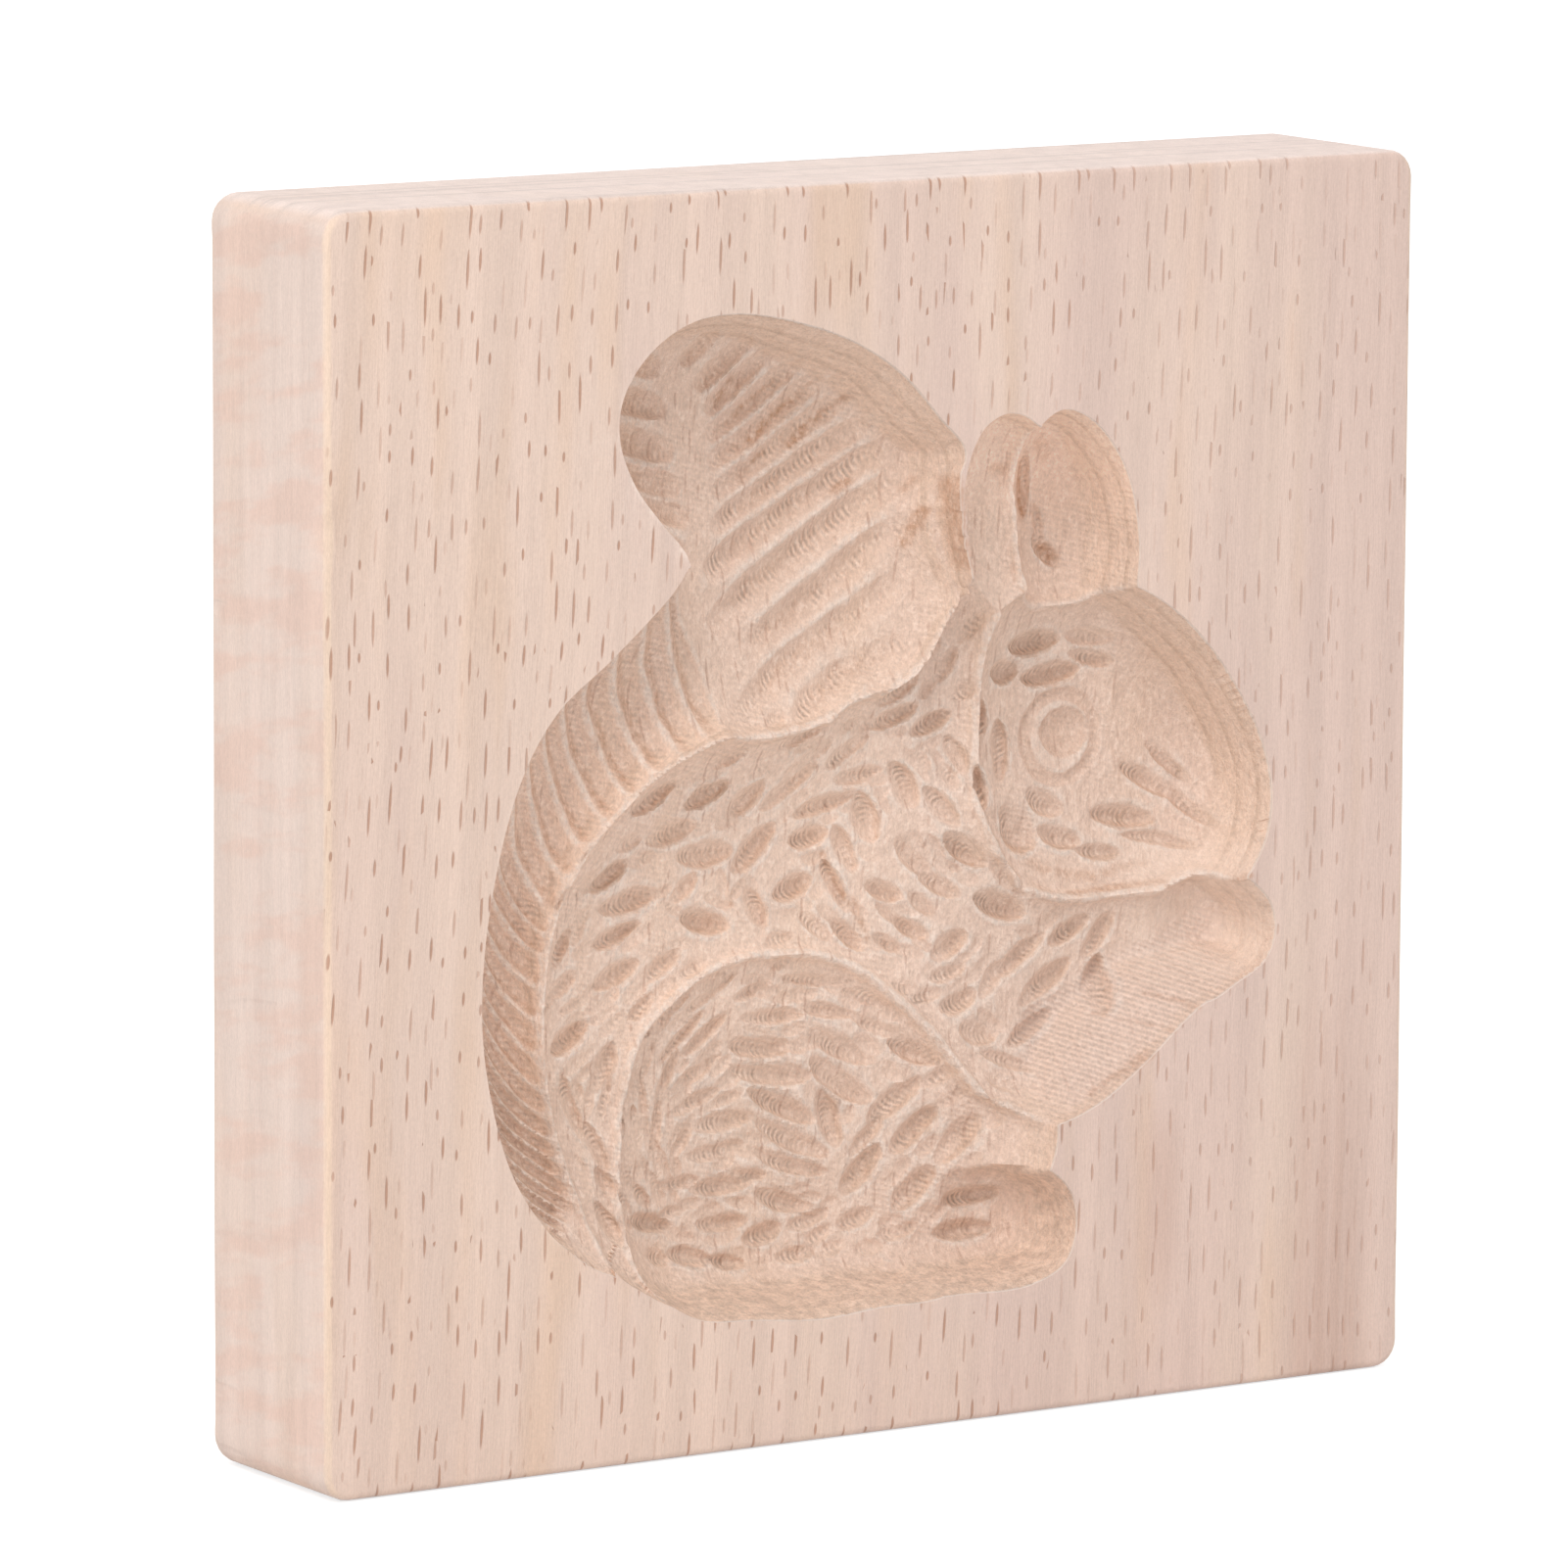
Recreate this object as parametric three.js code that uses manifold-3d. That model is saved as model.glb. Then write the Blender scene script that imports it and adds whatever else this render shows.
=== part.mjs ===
// Carved beech cookie mould: one solid block with a squirrel hollowed into its face.
// Millimetres, +Z up. The carved face looks towards -Y and the block stands on its lower edge.
// The origin is at the middle of the standing edge.

import * as THREE from 'three';
import Module from 'manifold-3d';

// Size of the carved figure, from tail to paw and from sole to tail top
const FIGURE_WIDTH = 88.5;
const FIGURE_HEIGHT = 95;

// Plain wood left round the figure
const TAIL_MARGIN = 16.5;
const PAW_MARGIN = 15;
const SOLE_MARGIN = 11.5;
const TOP_MARGIN = 11.5;
const WOOD_BEHIND_HAUNCH = 12;

// Edges of the block
const CORNER_RADIUS = 2.6;
const FRONT_ARRIS = 0.8;
const BACK_ARRIS = 2.2;
const ROUNDING_STEPS = 5;

// Depth of each hollow below the carved face
const TAIL_FAN_DEPTH = 7.6;
const TAIL_BRUSH_DEPTH = 5.8;
const BODY_DEPTH = 8.4;
const NECK_DEPTH = 7.4;
const HAUNCH_DEPTH = 10;
const HEAD_DEPTH = 9.2;
const FRONT_EAR_DEPTH = 8;
const BACK_EAR_DEPTH = 5;
const NAPE_DEPTH = 3.8;
const ARM_DEPTH = 7.8;
const PAW_DEPTH = 7.2;
const FOOT_DEPTH = 8.4;
const KNEE_DEPTH = 6.5;

// Gouged lines of the tail: how deep, how wide, and how many on each stretch
const FAN_LINE_DEPTH = 1.0;
const FAN_LINE_WIDTH = 2.6;
const FAN_LINES = 11;
const CURL_LINES = 5;
const BRUSH_LINE_DEPTH = 0.9;
const BRUSH_LINE_WIDTH = 2.0;
const BRUSH_LINES = 20;

// Eye: a ring groove round a shallow bowl
const EYE_RING_RADIUS = 4.1;
const EYE_RING_WIDTH = 1.8;
const EYE_RING_DEPTH = 0.7;
const PUPIL_RADIUS = 2.5;
const PUPIL_DEPTH = 1.0;

// Scoops of the fur: depth of one that is as wide as the usual width
const SCOOP_DEPTH = 1.0;
const SCOOP_WIDTH = 2.4;

// Fineness of the surfaces, and how far the cutters stand out past the face
const RIM_STEP = 2.8;
const PROFILE_STEPS = 7;
const CHANNEL_STEPS = 30;
const LINE_STEPS = 5;
const EYE_STEPS = 14;
const ABOVE_FACE = 1;

const pair = ([x, z]) => new THREE.Vector2(x, z);

// Hollows that are rounded in every direction. The outline is the rim where the hollow meets the
// face, or where it would meet it if no deeper hollow lay over it. Points are x from the middle
// of the block and z from the sole. Fullness flattens the floor and steepness raises the walls.
// Some are fuller in the direction of their open rim, given as an angle from level in degrees.
const bowls = {
  tailFan: {
    depth: TAIL_FAN_DEPTH, fullness: 4.0, steepness: 2.2, centre: [-7, 75],
    openSide: 55, openFullness: 6.5,
    outline: [
      [-21.4, 72], [-24.2, 75.4], [-27.2, 79.2], [-28.9, 83.6], [-28.5, 87.4], [-25.8, 91.2],
      [-21.5, 93.8], [-16.5, 94.5], [-9, 93.2], [-2.8, 90.9], [2.3, 87.6], [6.3, 83.4],
      [9.1, 80.2], [8.2, 77], [8.5, 71.5], [10.3, 66], [8, 58.5], [-2, 53], [-14, 54], [-19.8, 62],
    ],
  },
  body: {
    depth: BODY_DEPTH, fullness: 3.0, steepness: 2.0, centre: [-8, 36],
    outline: [
      [-27, 6], [-32, 12], [-35.6, 20], [-37.2, 28], [-37, 34.5], [-34.3, 42], [-29, 48.5],
      [-21.5, 53.3], [-12, 55.9], [-3, 57.2], [6, 57.8], [15, 54.5], [22, 47], [27, 38], [28, 28],
      [21, 19], [8, 10], [-6, 6], [-18, 3],
    ],
  },
  neck: {
    depth: NECK_DEPTH, fullness: 2.8, steepness: 2.0, centre: [9, 54],
    outline: [
      [-3, 56.4], [3, 58.6], [7.2, 61.6], [10.2, 66.6], [13.2, 69.6], [16.4, 66], [19, 56],
      [18, 46], [11, 41], [2, 43], [-4, 50],
    ],
  },
  haunch: {
    depth: HAUNCH_DEPTH, fullness: 2.8, steepness: 2.0, centre: [-6, 14],
    openSide: -95, openFullness: 7.5,
    outline: [
      [-6, 41.5], [3, 39.8], [10, 35.5], [16.5, 29], [20, 21], [19, 12], [15, 5], [8, 0.4],
      [0, -0.1], [-6.5, -0.5], [-14, 0.2], [-20, 0.9], [-26, 4], [-29.6, 9], [-30.6, 15],
      [-29.6, 22], [-26.9, 30.6], [-18, 39],
    ],
  },
  head: {
    depth: HEAD_DEPTH, fullness: 3.2, steepness: 2.0, centre: [28, 50],
    openSide: 15, openFullness: 5.0,
    outline: [
      [19, 67.5], [25, 67.3], [30, 65.5], [35, 62], [39.9, 56.2], [43.3, 50], [44.4, 44.5],
      [43.3, 39.8], [39, 34.8], [32, 31.8], [24, 31.8], [18, 35], [13.8, 41], [11.8, 48],
      [11.4, 56], [13.5, 64],
    ],
  },
  frontEar: {
    depth: FRONT_EAR_DEPTH, fullness: 2.4, steepness: 1.8, centre: [22.8, 71],
    openSide: 40, openFullness: 3.4,
    outline: [
      [28.8, 68], [28.5, 73], [27.4, 77], [25.3, 80.4], [22.7, 82.7], [20, 83.5], [17.4, 82.1],
      [15.6, 79], [16.2, 73], [17.5, 66], [20, 60], [27, 60],
    ],
  },
  backEar: {
    depth: BACK_EAR_DEPTH, fullness: 3.0, steepness: 2.0, centre: [14.6, 73],
    outline: [
      [17.3, 82], [14.2, 83.5], [11.6, 82.5], [10.1, 80], [9.8, 76.5], [10.5, 71], [12, 62],
      [17.5, 61], [20, 68], [19.5, 76],
    ],
  },
  nape: {
    depth: NAPE_DEPTH, fullness: 3.0, steepness: 2.0, centre: [7.9, 74],
    outline: [
      [8.3, 79.4], [6.4, 78], [6, 74], [7, 70], [9, 66.5], [10.6, 64], [9.9, 68], [8.9, 72], [8.5, 76],
    ],
  },
  arm: {
    depth: ARM_DEPTH, fullness: 2.4, steepness: 2.0, centre: [27, 29.5],
    outline: [
      [11, 27], [14, 20], [20.5, 15.5], [25, 17.1], [30, 20.4], [36, 25.1], [41, 27.6],
      [43.6, 30.5], [43, 35.5], [38, 38.6], [30, 42], [18, 41], [12, 36],
    ],
  },
  paw: {
    depth: PAW_DEPTH, fullness: 3.0, steepness: 2.0, centre: [38.8, 32.6],
    outline: [
      [45, 32], [43.9, 29.3], [40.5, 27.2], [36.8, 25.7], [33.6, 28], [32.6, 32.5], [35, 37],
      [38.8, 38.4], [42, 37.1], [44.4, 34.7],
    ],
  },
  foot: {
    depth: FOOT_DEPTH, fullness: 3.0, steepness: 2.0, centre: [12, 6.2],
    openSide: -20, openFullness: 4.5,
    outline: [
      [22.3, 5], [21.8, 8.6], [19, 11.3], [13, 12.6], [5, 12], [-1, 7], [1, 1.2], [10, 0.2],
      [17, 0.3], [21, 2],
    ],
  },
  knee: {
    depth: KNEE_DEPTH, fullness: 2.6, steepness: 2.0, centre: [6, 16],
    outline: [[20, 16], [19, 10.5], [14, 6], [4, 5], [-6, 10], [-6, 20], [4, 24], [12, 23], [18, 20]],
  },
};

// Walls at places along the open rim: x, z, slope in depth over breadth, and the sheer drop above
const walls = [
  [-28, 84, 3.0, 0.25], [-17, 95, 2.2, 0.25], [-4, 92, 1.9, 0.25], [5, 85, 1.9, 0.25],
  [9, 80.4, 1.9, 0.25], [8.2, 77.2, 1.8, 2.4], [8.5, 72, 1.8, 2.4], [10, 67, 2.0, 2.0],
  [12, 82, 3.0, 0.3], [10.3, 74, 3.0, 0.3], [24, 82, 3.0, 0.3],
  [28.8, 72, 4.5, 0.3], [31, 65, 2.6, 0.25], [40, 56, 3.2, 0.25], [45, 44, 3.4, 0.25],
  [43, 37, 3.2, 0.25], [45, 31, 3.0, 0.25], [40, 27, 1.5, 0.6], [34, 23, 0.8, 1.1],
  [26, 18, 0.75, 1.1], [20, 15, 1.5, 0.8], [22, 6, 6.0, 0.3], [18, 0.3, 4.5, 0.3],
  [14, 0, 4.0, 0.3], [-6, 0, 4.2, 0.3], [-22, 2, 4.0, 0.3], [-36, 10, 3.0, 0.25],
  [-43, 30, 4.0, 0.25], [-36, 58, 4.0, 0.25],
];

// The lower tail is a channel: its rim on one side, a hidden edge under the body on the other,
// and the share of the full depth that it has there.
const brush = {
  fullness: 2.0,
  steepness: 1.4,
  stations: [
    { rim: [-29, 5.8], inner: [-25, 9], share: 0.45 },
    { rim: [-32.3, 7.4], inner: [-27.5, 14], share: 0.7 },
    { rim: [-36.8, 11.3], inner: [-30.5, 20], share: 0.86 },
    { rim: [-40.6, 17.3], inner: [-32.5, 26], share: 0.97 },
    { rim: [-43, 26], inner: [-32.8, 32], share: 1 },
    { rim: [-43.5, 34], inner: [-32, 38], share: 1 },
    { rim: [-42.3, 43.3], inner: [-29, 44], share: 1 },
    { rim: [-39.6, 52.4], inner: [-24, 49], share: 1 },
    { rim: [-35.6, 58.8], inner: [-18, 53], share: 1 },
    { rim: [-29.6, 63.5], inner: [-12, 56], share: 1 },
    { rim: [-23.6, 68.6], inner: [-6, 58], share: 1 },
    { rim: [-21.4, 71.4], inner: [-4, 62], share: 1 },
  ],
};

// Ends of the gouged lines. Those of the fan start at the spine and run out to the foot of the
// wall, and those of the curl run in from the rim.
const fanSpine = [[-18.2, 90], [-14.6, 85.4], [-12.6, 79], [-13.2, 71.5], [-12, 64], [-10, 57]];
const fanFoot = [[-16, 92], [-9.4, 90], [-2.4, 87], [2.8, 81.4], [6, 74.5], [4.5, 64]];
const curlRim = [[-26.4, 90.3], [-28.4, 86.4], [-28.2, 82.4], [-25.6, 78]];
const curlSpine = [[-19.6, 88.4], [-18.6, 84.2], [-17.8, 79.6], [-16.6, 75]];
const eyeCentre = [26, 51.2];

// Main scoops of the fur: x and z of the middle, length, width, and angle from level in degrees
const scoops = [
  // Haunch and toes
  [-7.6, 24.2, 6.8, 2.8, -8], [-6.4, 21.3, 8.4, 2.8, -10], [-5.1, 18.2, 8.2, 2.7, -25],
  [-14.7, 22.4, 6.2, 2.2, 30], [-14.9, 19.6, 6.0, 2.2, 18], [-12.4, 17.0, 6.8, 2.3, 2],
  [-3.9, 14.8, 8.2, 2.7, -25], [1.6, 23.4, 7.4, 2.8, -26], [2.4, 20.1, 7.4, 2.8, -34],
  [1.2, 16.2, 5.6, 2.8, -72], [-12.6, 14.2, 6.4, 2.2, 4], [-12.2, 11.2, 7.0, 2.3, 2],
  [-4.2, 11.6, 6.8, 2.3, -17], [-12.2, 7.8, 5.8, 2.3, 0],
  [-20.2, 8.6, 5.8, 2.4, -17], [3.8, 11.2, 5.8, 2.8, 45],
  [7.4, 17.6, 6.0, 2.8, 40], [9.5, 14.2, 6.0, 2.6, 45], [8.8, 9.2, 5.4, 2.8, 42],
  [15.5, 8.2, 5.6, 2.2, 5], [14.8, 4.9, 6.0, 2.3, 0],
  // Back and flank
  [-20.6, 48.9, 5.8, 2.4, 22], [-14.4, 48.8, 5.4, 2.4, 26], [-18.7, 45.5, 6.2, 2.6, 10],
  [-14.6, 42.8, 6.2, 2.8, 3], [-9.2, 44.4, 6.0, 2.8, 42], [-23.1, 40.0, 6.2, 2.6, 9],
  [-5.2, 49.2, 6.6, 2.3, 34], [-24.6, 32.8, 5.6, 2.6, 18],
  [-29.8, 28.4, 5.2, 2.6, 24], [-29.4, 21.2, 6.8, 2.3, -68],
  // Chest and arm
  [6.8, 57.4, 5.4, 2.3, 36], [3.2, 45.2, 5.2, 2.6, -74],
  [7.0, 48.0, 5.0, 2.8, -58], [14.3, 41.5, 5.4, 2.5, -34],
  [18.0, 35.4, 6.0, 2.9, -22], [20.3, 30.9, 6.8, 2.3, 36], [23.4, 28.0, 6.6, 2.6, 34],
  [29.0, 31.6, 5.2, 2.4, 60],
  // Crown and cheek
  [22.2, 60.4, 5.8, 2.5, 0], [19.0, 58.0, 4.0, 2.4, -8], [24.6, 57.2, 6.0, 2.5, 4],
  [24.6, 45.0, 4.8, 2.6, -28], [20.8, 43.0, 5.4, 3.4, -40],
  [35.8, 46.0, 6.4, 2.2, -28], [33.2, 42.6, 6.6, 2.4, -12],
];

// Where the drawn outlines lie on the block
const drawn = new THREE.Box2();
for (const bowl of Object.values(bowls)) {
  for (const point of bowl.outline) {
    drawn.expandByPoint(pair(point));
  }
}
for (const station of brush.stations) {
  drawn.expandByPoint(pair(station.rim));
}
const stretch = new THREE.Vector2(FIGURE_WIDTH, FIGURE_HEIGHT).divide(drawn.getSize(new THREE.Vector2()));

const blockWidth = TAIL_MARGIN + FIGURE_WIDTH + PAW_MARGIN;
const blockHeight = SOLE_MARGIN + FIGURE_HEIGHT + TOP_MARGIN;
const blockThickness = HAUNCH_DEPTH + WOOD_BEHIND_HAUNCH;
const faceY = -blockThickness / 2;

function onBlock(point, depth) {
  const x = TAIL_MARGIN - blockWidth / 2 + (point.x - drawn.min.x) * stretch.x;
  const z = SOLE_MARGIN + (point.y - drawn.min.y) * stretch.y;
  return new THREE.Vector3(x, faceY + depth, z);
}

// A closed body through a row of rings that all have the same number of points
function loft(rings, firstMiddle, lastMiddle) {
  const count = rings[0].length;
  const points = rings.flat();
  const faces = [];
  for (let ring = 0; ring + 1 < rings.length; ring += 1) {
    for (let i = 0; i < count; i += 1) {
      const a = ring * count + i;
      const b = ring * count + (i + 1) % count;
      faces.push(a, b, a + count);
      faces.push(b, b + count, a + count);
    }
  }
  const lastRing = (rings.length - 1) * count;
  for (let i = 0; i < count; i += 1) {
    const next = (i + 1) % count;
    faces.push(points.length, next, i);
    faces.push(points.length + 1, lastRing + i, lastRing + next);
  }
  points.push(firstMiddle, lastMiddle);
  return facingOut(points, faces);
}

function facingOut(points, faces) {
  let volume = 0;
  for (let i = 0; i < faces.length; i += 3) {
    const [a, b, c] = [points[faces[i]], points[faces[i + 1]], points[faces[i + 2]]];
    volume += a.dot(new THREE.Vector3().crossVectors(b, c));
  }
  const geometry = new THREE.BufferGeometry().setFromPoints(points);
  geometry.setIndex(volume > 0 ? faces : faces.reverse());
  return geometry;
}

// The block: rounded rectangles stacked from the carved face to the back
function roundedRectangle(inset, y) {
  const halfWidth = blockWidth / 2 - inset;
  const radius = Math.max(CORNER_RADIUS - inset, CORNER_RADIUS / 4);
  const corners = [
    [halfWidth - radius, blockHeight - inset - radius, 0],
    [radius - halfWidth, blockHeight - inset - radius, 1],
    [radius - halfWidth, inset + radius, 2],
    [halfWidth - radius, inset + radius, 3],
  ];
  const ring = [];
  for (const [x, z, quarter] of corners) {
    for (let step = 0; step <= ROUNDING_STEPS; step += 1) {
      const angle = (quarter + step / ROUNDING_STEPS) * Math.PI / 2;
      ring.push(new THREE.Vector3(x + radius * Math.cos(angle), y, z + radius * Math.sin(angle)));
    }
  }
  return ring;
}

function block() {
  const rings = [];
  const middleHeight = blockHeight / 2;
  for (let step = 0; step <= ROUNDING_STEPS; step += 1) {
    const angle = step / ROUNDING_STEPS * Math.PI / 2;
    const inset = FRONT_ARRIS * (1 - Math.sin(angle));
    rings.push(roundedRectangle(inset, faceY + FRONT_ARRIS * (1 - Math.cos(angle))));
  }
  for (let step = ROUNDING_STEPS; step >= 0; step -= 1) {
    const angle = step / ROUNDING_STEPS * Math.PI / 2;
    const inset = BACK_ARRIS * (1 - Math.sin(angle));
    rings.push(roundedRectangle(inset, BACK_ARRIS * (Math.cos(angle) - 1) - faceY));
  }
  return loft(rings, new THREE.Vector3(0, faceY, middleHeight), new THREE.Vector3(0, -faceY, middleHeight));
}

function rimOf(bowl) {
  return new THREE.CatmullRomCurve3(bowl.outline.map(([x, z]) => new THREE.Vector3(x, z, 0)), true);
}

function fullnessTowards(bowl, point) {
  if (bowl.openSide === undefined) {
    return bowl.fullness;
  }
  const turn = point.clone().sub(pair(bowl.centre)).angle() - THREE.MathUtils.degToRad(bowl.openSide);
  return THREE.MathUtils.lerp(bowl.fullness, bowl.openFullness, Math.max(Math.cos(turn), 0) ** 2);
}

// Depth of a bowl at a point of the figure, 0 outside it
function bowlDepth(bowl, point) {
  const centre = pair(bowl.centre);
  const away = point.clone().sub(centre);
  let nearest = Infinity;
  let reach = 1;
  for (const { x, y } of rimOf(bowl).getPoints(240)) {
    const edge = new THREE.Vector2(x, y).sub(centre);
    const turn = Math.abs(Math.atan2(away.cross(edge), away.dot(edge)));
    if (turn < nearest) {
      nearest = turn;
      reach = Math.min(away.length() / edge.length(), 1);
    }
  }
  return bowl.depth * (1 - reach ** fullnessTowards(bowl, point)) ** (1 / bowl.steepness);
}

// Slope of the wall and its sheer drop at a point of the rim, from the nearest places given
function wallAt(point) {
  let [slope, drop, weights] = [0, 0, 0];
  for (const [x, z, wallSlope, wallDrop] of walls) {
    const weight = 1 / (point.distanceTo(pair([x, z])) + 1) ** 4;
    slope += wallSlope * weight;
    drop += wallDrop * weight;
    weights += weight;
  }
  return { slope: slope / weights, drop: drop / weights };
}

// One bowl: its rim, carried out past the face, and rings that shrink towards the deepest point.
// Where no other bowl covers the rim, the wall below it keeps its slope.
function bowlCutter(bowl) {
  const centre = pair(bowl.centre);
  const rim = rimOf(bowl);
  const count = Math.round(rim.getLength() / RIM_STEP);
  const outline = rim.getSpacedPoints(count).slice(0, count).map(({ x, y }) => new THREE.Vector2(x, y));
  const others = Object.values(bowls).filter((other) => other !== bowl);
  const wallsBelow = outline.map((point) => {
    const covered = others.some((other) => bowlDepth(other, point) > 0);
    return covered ? { slope: Infinity, drop: 0 } : wallAt(point);
  });
  const rings = [outline.map((point) => onBlock(point, -ABOVE_FACE))];
  rings.push(outline.map((point) => onBlock(point, 0)));
  for (let step = 1; step < PROFILE_STEPS; step += 1) {
    const angle = step / PROFILE_STEPS * Math.PI / 2;
    const depth = bowl.depth * Math.sin(angle) ** (2 / bowl.steepness);
    rings.push(outline.map((edge, i) => {
      const point = centre.clone().lerp(edge, Math.cos(angle) ** (2 / fullnessTowards(bowl, edge)));
      const { slope, drop } = wallsBelow[i];
      return onBlock(point, Math.min(depth, drop + slope * point.distanceTo(edge)));
    }));
  }
  return loft(rings, onBlock(centre, -ABOVE_FACE), onBlock(centre, bowl.depth));
}

// The channel of the lower tail
const brushRim = new THREE.SplineCurve(brush.stations.map(({ rim }) => pair(rim)));
const brushInner = new THREE.SplineCurve(brush.stations.map(({ inner }) => pair(inner)));
const brushShare = new THREE.SplineCurve(brush.stations.map(({ share }, i) => new THREE.Vector2(i, share)));

function brushPoint(along, across) {
  const point = brushRim.getPoint(along).lerp(brushInner.getPoint(along), across);
  const reach = Math.abs(2 * across - 1);
  const arch = (1 - reach ** brush.fullness) ** (1 / brush.steepness);
  return { point, depth: TAIL_BRUSH_DEPTH * brushShare.getPoint(along).y * arch };
}

function brushCutter() {
  const rings = [];
  const middles = [];
  for (let step = 0; step <= CHANNEL_STEPS; step += 1) {
    const along = step / CHANNEL_STEPS;
    const ring = [onBlock(brushPoint(along, 0).point, -ABOVE_FACE)];
    for (let i = 0; i <= 2 * PROFILE_STEPS; i += 1) {
      const across = (1 - Math.cos(i / (2 * PROFILE_STEPS) * Math.PI)) / 2;
      const { point, depth } = brushPoint(along, across);
      ring.push(onBlock(point, depth));
    }
    ring.push(onBlock(brushPoint(along, 1).point, -ABOVE_FACE));
    rings.push(ring);
    middles.push(onBlock(brushPoint(along, 0.5).point, 0));
  }
  return loft(rings, middles[0], middles[CHANNEL_STEPS]);
}

// A gouged line: a V that follows the floor, deepest at its middle and shallow at both ends
function lineCutter(floorAt, width, depth) {
  const rings = [];
  const middles = [];
  for (let step = 0; step <= LINE_STEPS; step += 1) {
    const along = step / LINE_STEPS;
    const swell = Math.sin(Math.PI * (0.1 + 0.8 * along));
    const here = floorAt(along);
    const before = floorAt(Math.max(along - 0.05, 0)).point;
    const after = floorAt(Math.min(along + 0.05, 1)).point;
    const side = new THREE.Vector2(before.y - after.y, after.x - before.x).setLength(width * swell / 2);
    const left = here.point.clone().add(side);
    const right = here.point.clone().sub(side);
    rings.push([
      onBlock(left, -ABOVE_FACE),
      onBlock(left, here.depth - depth * 0.2),
      onBlock(here.point, here.depth + depth * swell),
      onBlock(right, here.depth - depth * 0.2),
      onBlock(right, -ABOVE_FACE),
    ]);
    middles.push(onBlock(here.point, here.depth / 2));
  }
  return loft(rings, middles[0], middles[LINE_STEPS]);
}

function linesBetween(bowl, starts, ends, count, width, depth) {
  const startCurve = new THREE.SplineCurve(starts.map(pair));
  const endCurve = new THREE.SplineCurve(ends.map(pair));
  const cutters = [];
  for (let i = 0; i < count; i += 1) {
    const start = startCurve.getPoint(i / (count - 1));
    const end = endCurve.getPoint(i / (count - 1));
    cutters.push(lineCutter((along) => {
      const point = start.clone().lerp(end, along);
      return { point, depth: bowlDepth(bowl, point) };
    }, width, depth));
  }
  return cutters;
}

function brushLines() {
  const cutters = [];
  const slant = 0.11;
  for (let i = 0; i < BRUSH_LINES; i += 1) {
    const innerEnd = 0.03 + i / BRUSH_LINES * 0.82;
    cutters.push(lineCutter((along) => {
      return brushPoint(innerEnd + slant * (1 - along), 0.04 + 0.6 * along);
    }, BRUSH_LINE_WIDTH, BRUSH_LINE_DEPTH));
  }
  return cutters;
}

// The eye: bowl and ring in one turned profile, pressed into the floor of the head
function eyeCutter() {
  const centre = pair(eyeCentre);
  const floor = bowlDepth(bowls.head, centre);
  const rings = [
    [EYE_RING_RADIUS + EYE_RING_WIDTH, floor - EYE_RING_DEPTH],
    [EYE_RING_RADIUS, floor + EYE_RING_DEPTH],
    [EYE_RING_RADIUS - EYE_RING_WIDTH * 0.6, floor - EYE_RING_DEPTH * 0.2],
    [PUPIL_RADIUS * 1.1, floor - PUPIL_DEPTH * 0.2],
    [PUPIL_RADIUS * 0.7, floor + PUPIL_DEPTH * 0.7],
  ].map(([radius, depth]) => {
    const circle = new THREE.EllipseCurve(centre.x, centre.y, radius, radius);
    return circle.getPoints(EYE_STEPS).slice(1).map((point) => onBlock(point, depth));
  });
  return loft(rings, onBlock(centre, floor - EYE_RING_DEPTH), onBlock(centre, floor + PUPIL_DEPTH));
}

// A scoop: a leaf-shaped pit with flat sides that run to one deepest point
function scoopCutter([x, z, length, width, angle]) {
  const middle = pair([x, z]);
  const floor = Math.max(...Object.values(bowls).map((bowl) => bowlDepth(bowl, middle)));
  const depth = SCOOP_DEPTH * width / SCOOP_WIDTH;
  const turn = THREE.MathUtils.degToRad(angle);
  const above = 1.4;
  const leaf = [[0.5, 0], [0.2, 0.5], [-0.25, 0.5], [-0.5, 0], [-0.25, -0.5], [0.2, -0.5]];
  const ring = leaf.map(([along, across]) => {
    const point = new THREE.Vector2(along * length * above, across * width * above);
    return onBlock(point.rotateAround(new THREE.Vector2(), turn).add(middle), floor + depth * (1 - above));
  });
  return loft([ring], onBlock(middle, floor + depth * (1 - above)), onBlock(middle, floor + depth));
}

const wasm = await Module();
wasm.setup();

function solid(geometry) {
  const vertProperties = new Float32Array(geometry.attributes.position.array);
  const triVerts = new Uint32Array(geometry.index.array);
  return new wasm.Manifold(new wasm.Mesh({ numProp: 3, vertProperties, triVerts }));
}

function geometryOf(manifold) {
  const mesh = manifold.getMesh();
  const geometry = new THREE.BufferGeometry();
  geometry.setAttribute('position', new THREE.BufferAttribute(new Float32Array(mesh.vertProperties), 3));
  geometry.setIndex(new THREE.BufferAttribute(new Uint32Array(mesh.triVerts), 1));
  geometry.computeVertexNormals();
  return geometry;
}

function carvedBlock() {
  const cutters = [
    ...Object.values(bowls).map(bowlCutter),
    brushCutter(),
    ...linesBetween(bowls.tailFan, fanSpine, fanFoot, FAN_LINES, FAN_LINE_WIDTH, FAN_LINE_DEPTH),
    ...linesBetween(bowls.tailFan, curlRim, curlSpine, CURL_LINES, FAN_LINE_WIDTH, FAN_LINE_DEPTH),
    ...brushLines(),
    eyeCutter(),
    ...scoops.map(scoopCutter),
  ];
  let carved = solid(block());
  for (const cutter of cutters) {
    carved = carved.subtract(solid(cutter));
  }
  return geometryOf(carved);
}

const beech = new THREE.MeshStandardMaterial({ color: '#e6cdb6', roughness: 0.62, metalness: 0 });
const mould = new THREE.Mesh(carvedBlock(), beech);
mould.name = 'mould_block';

const part = new THREE.Group();
part.add(mould);

export default part;
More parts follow.
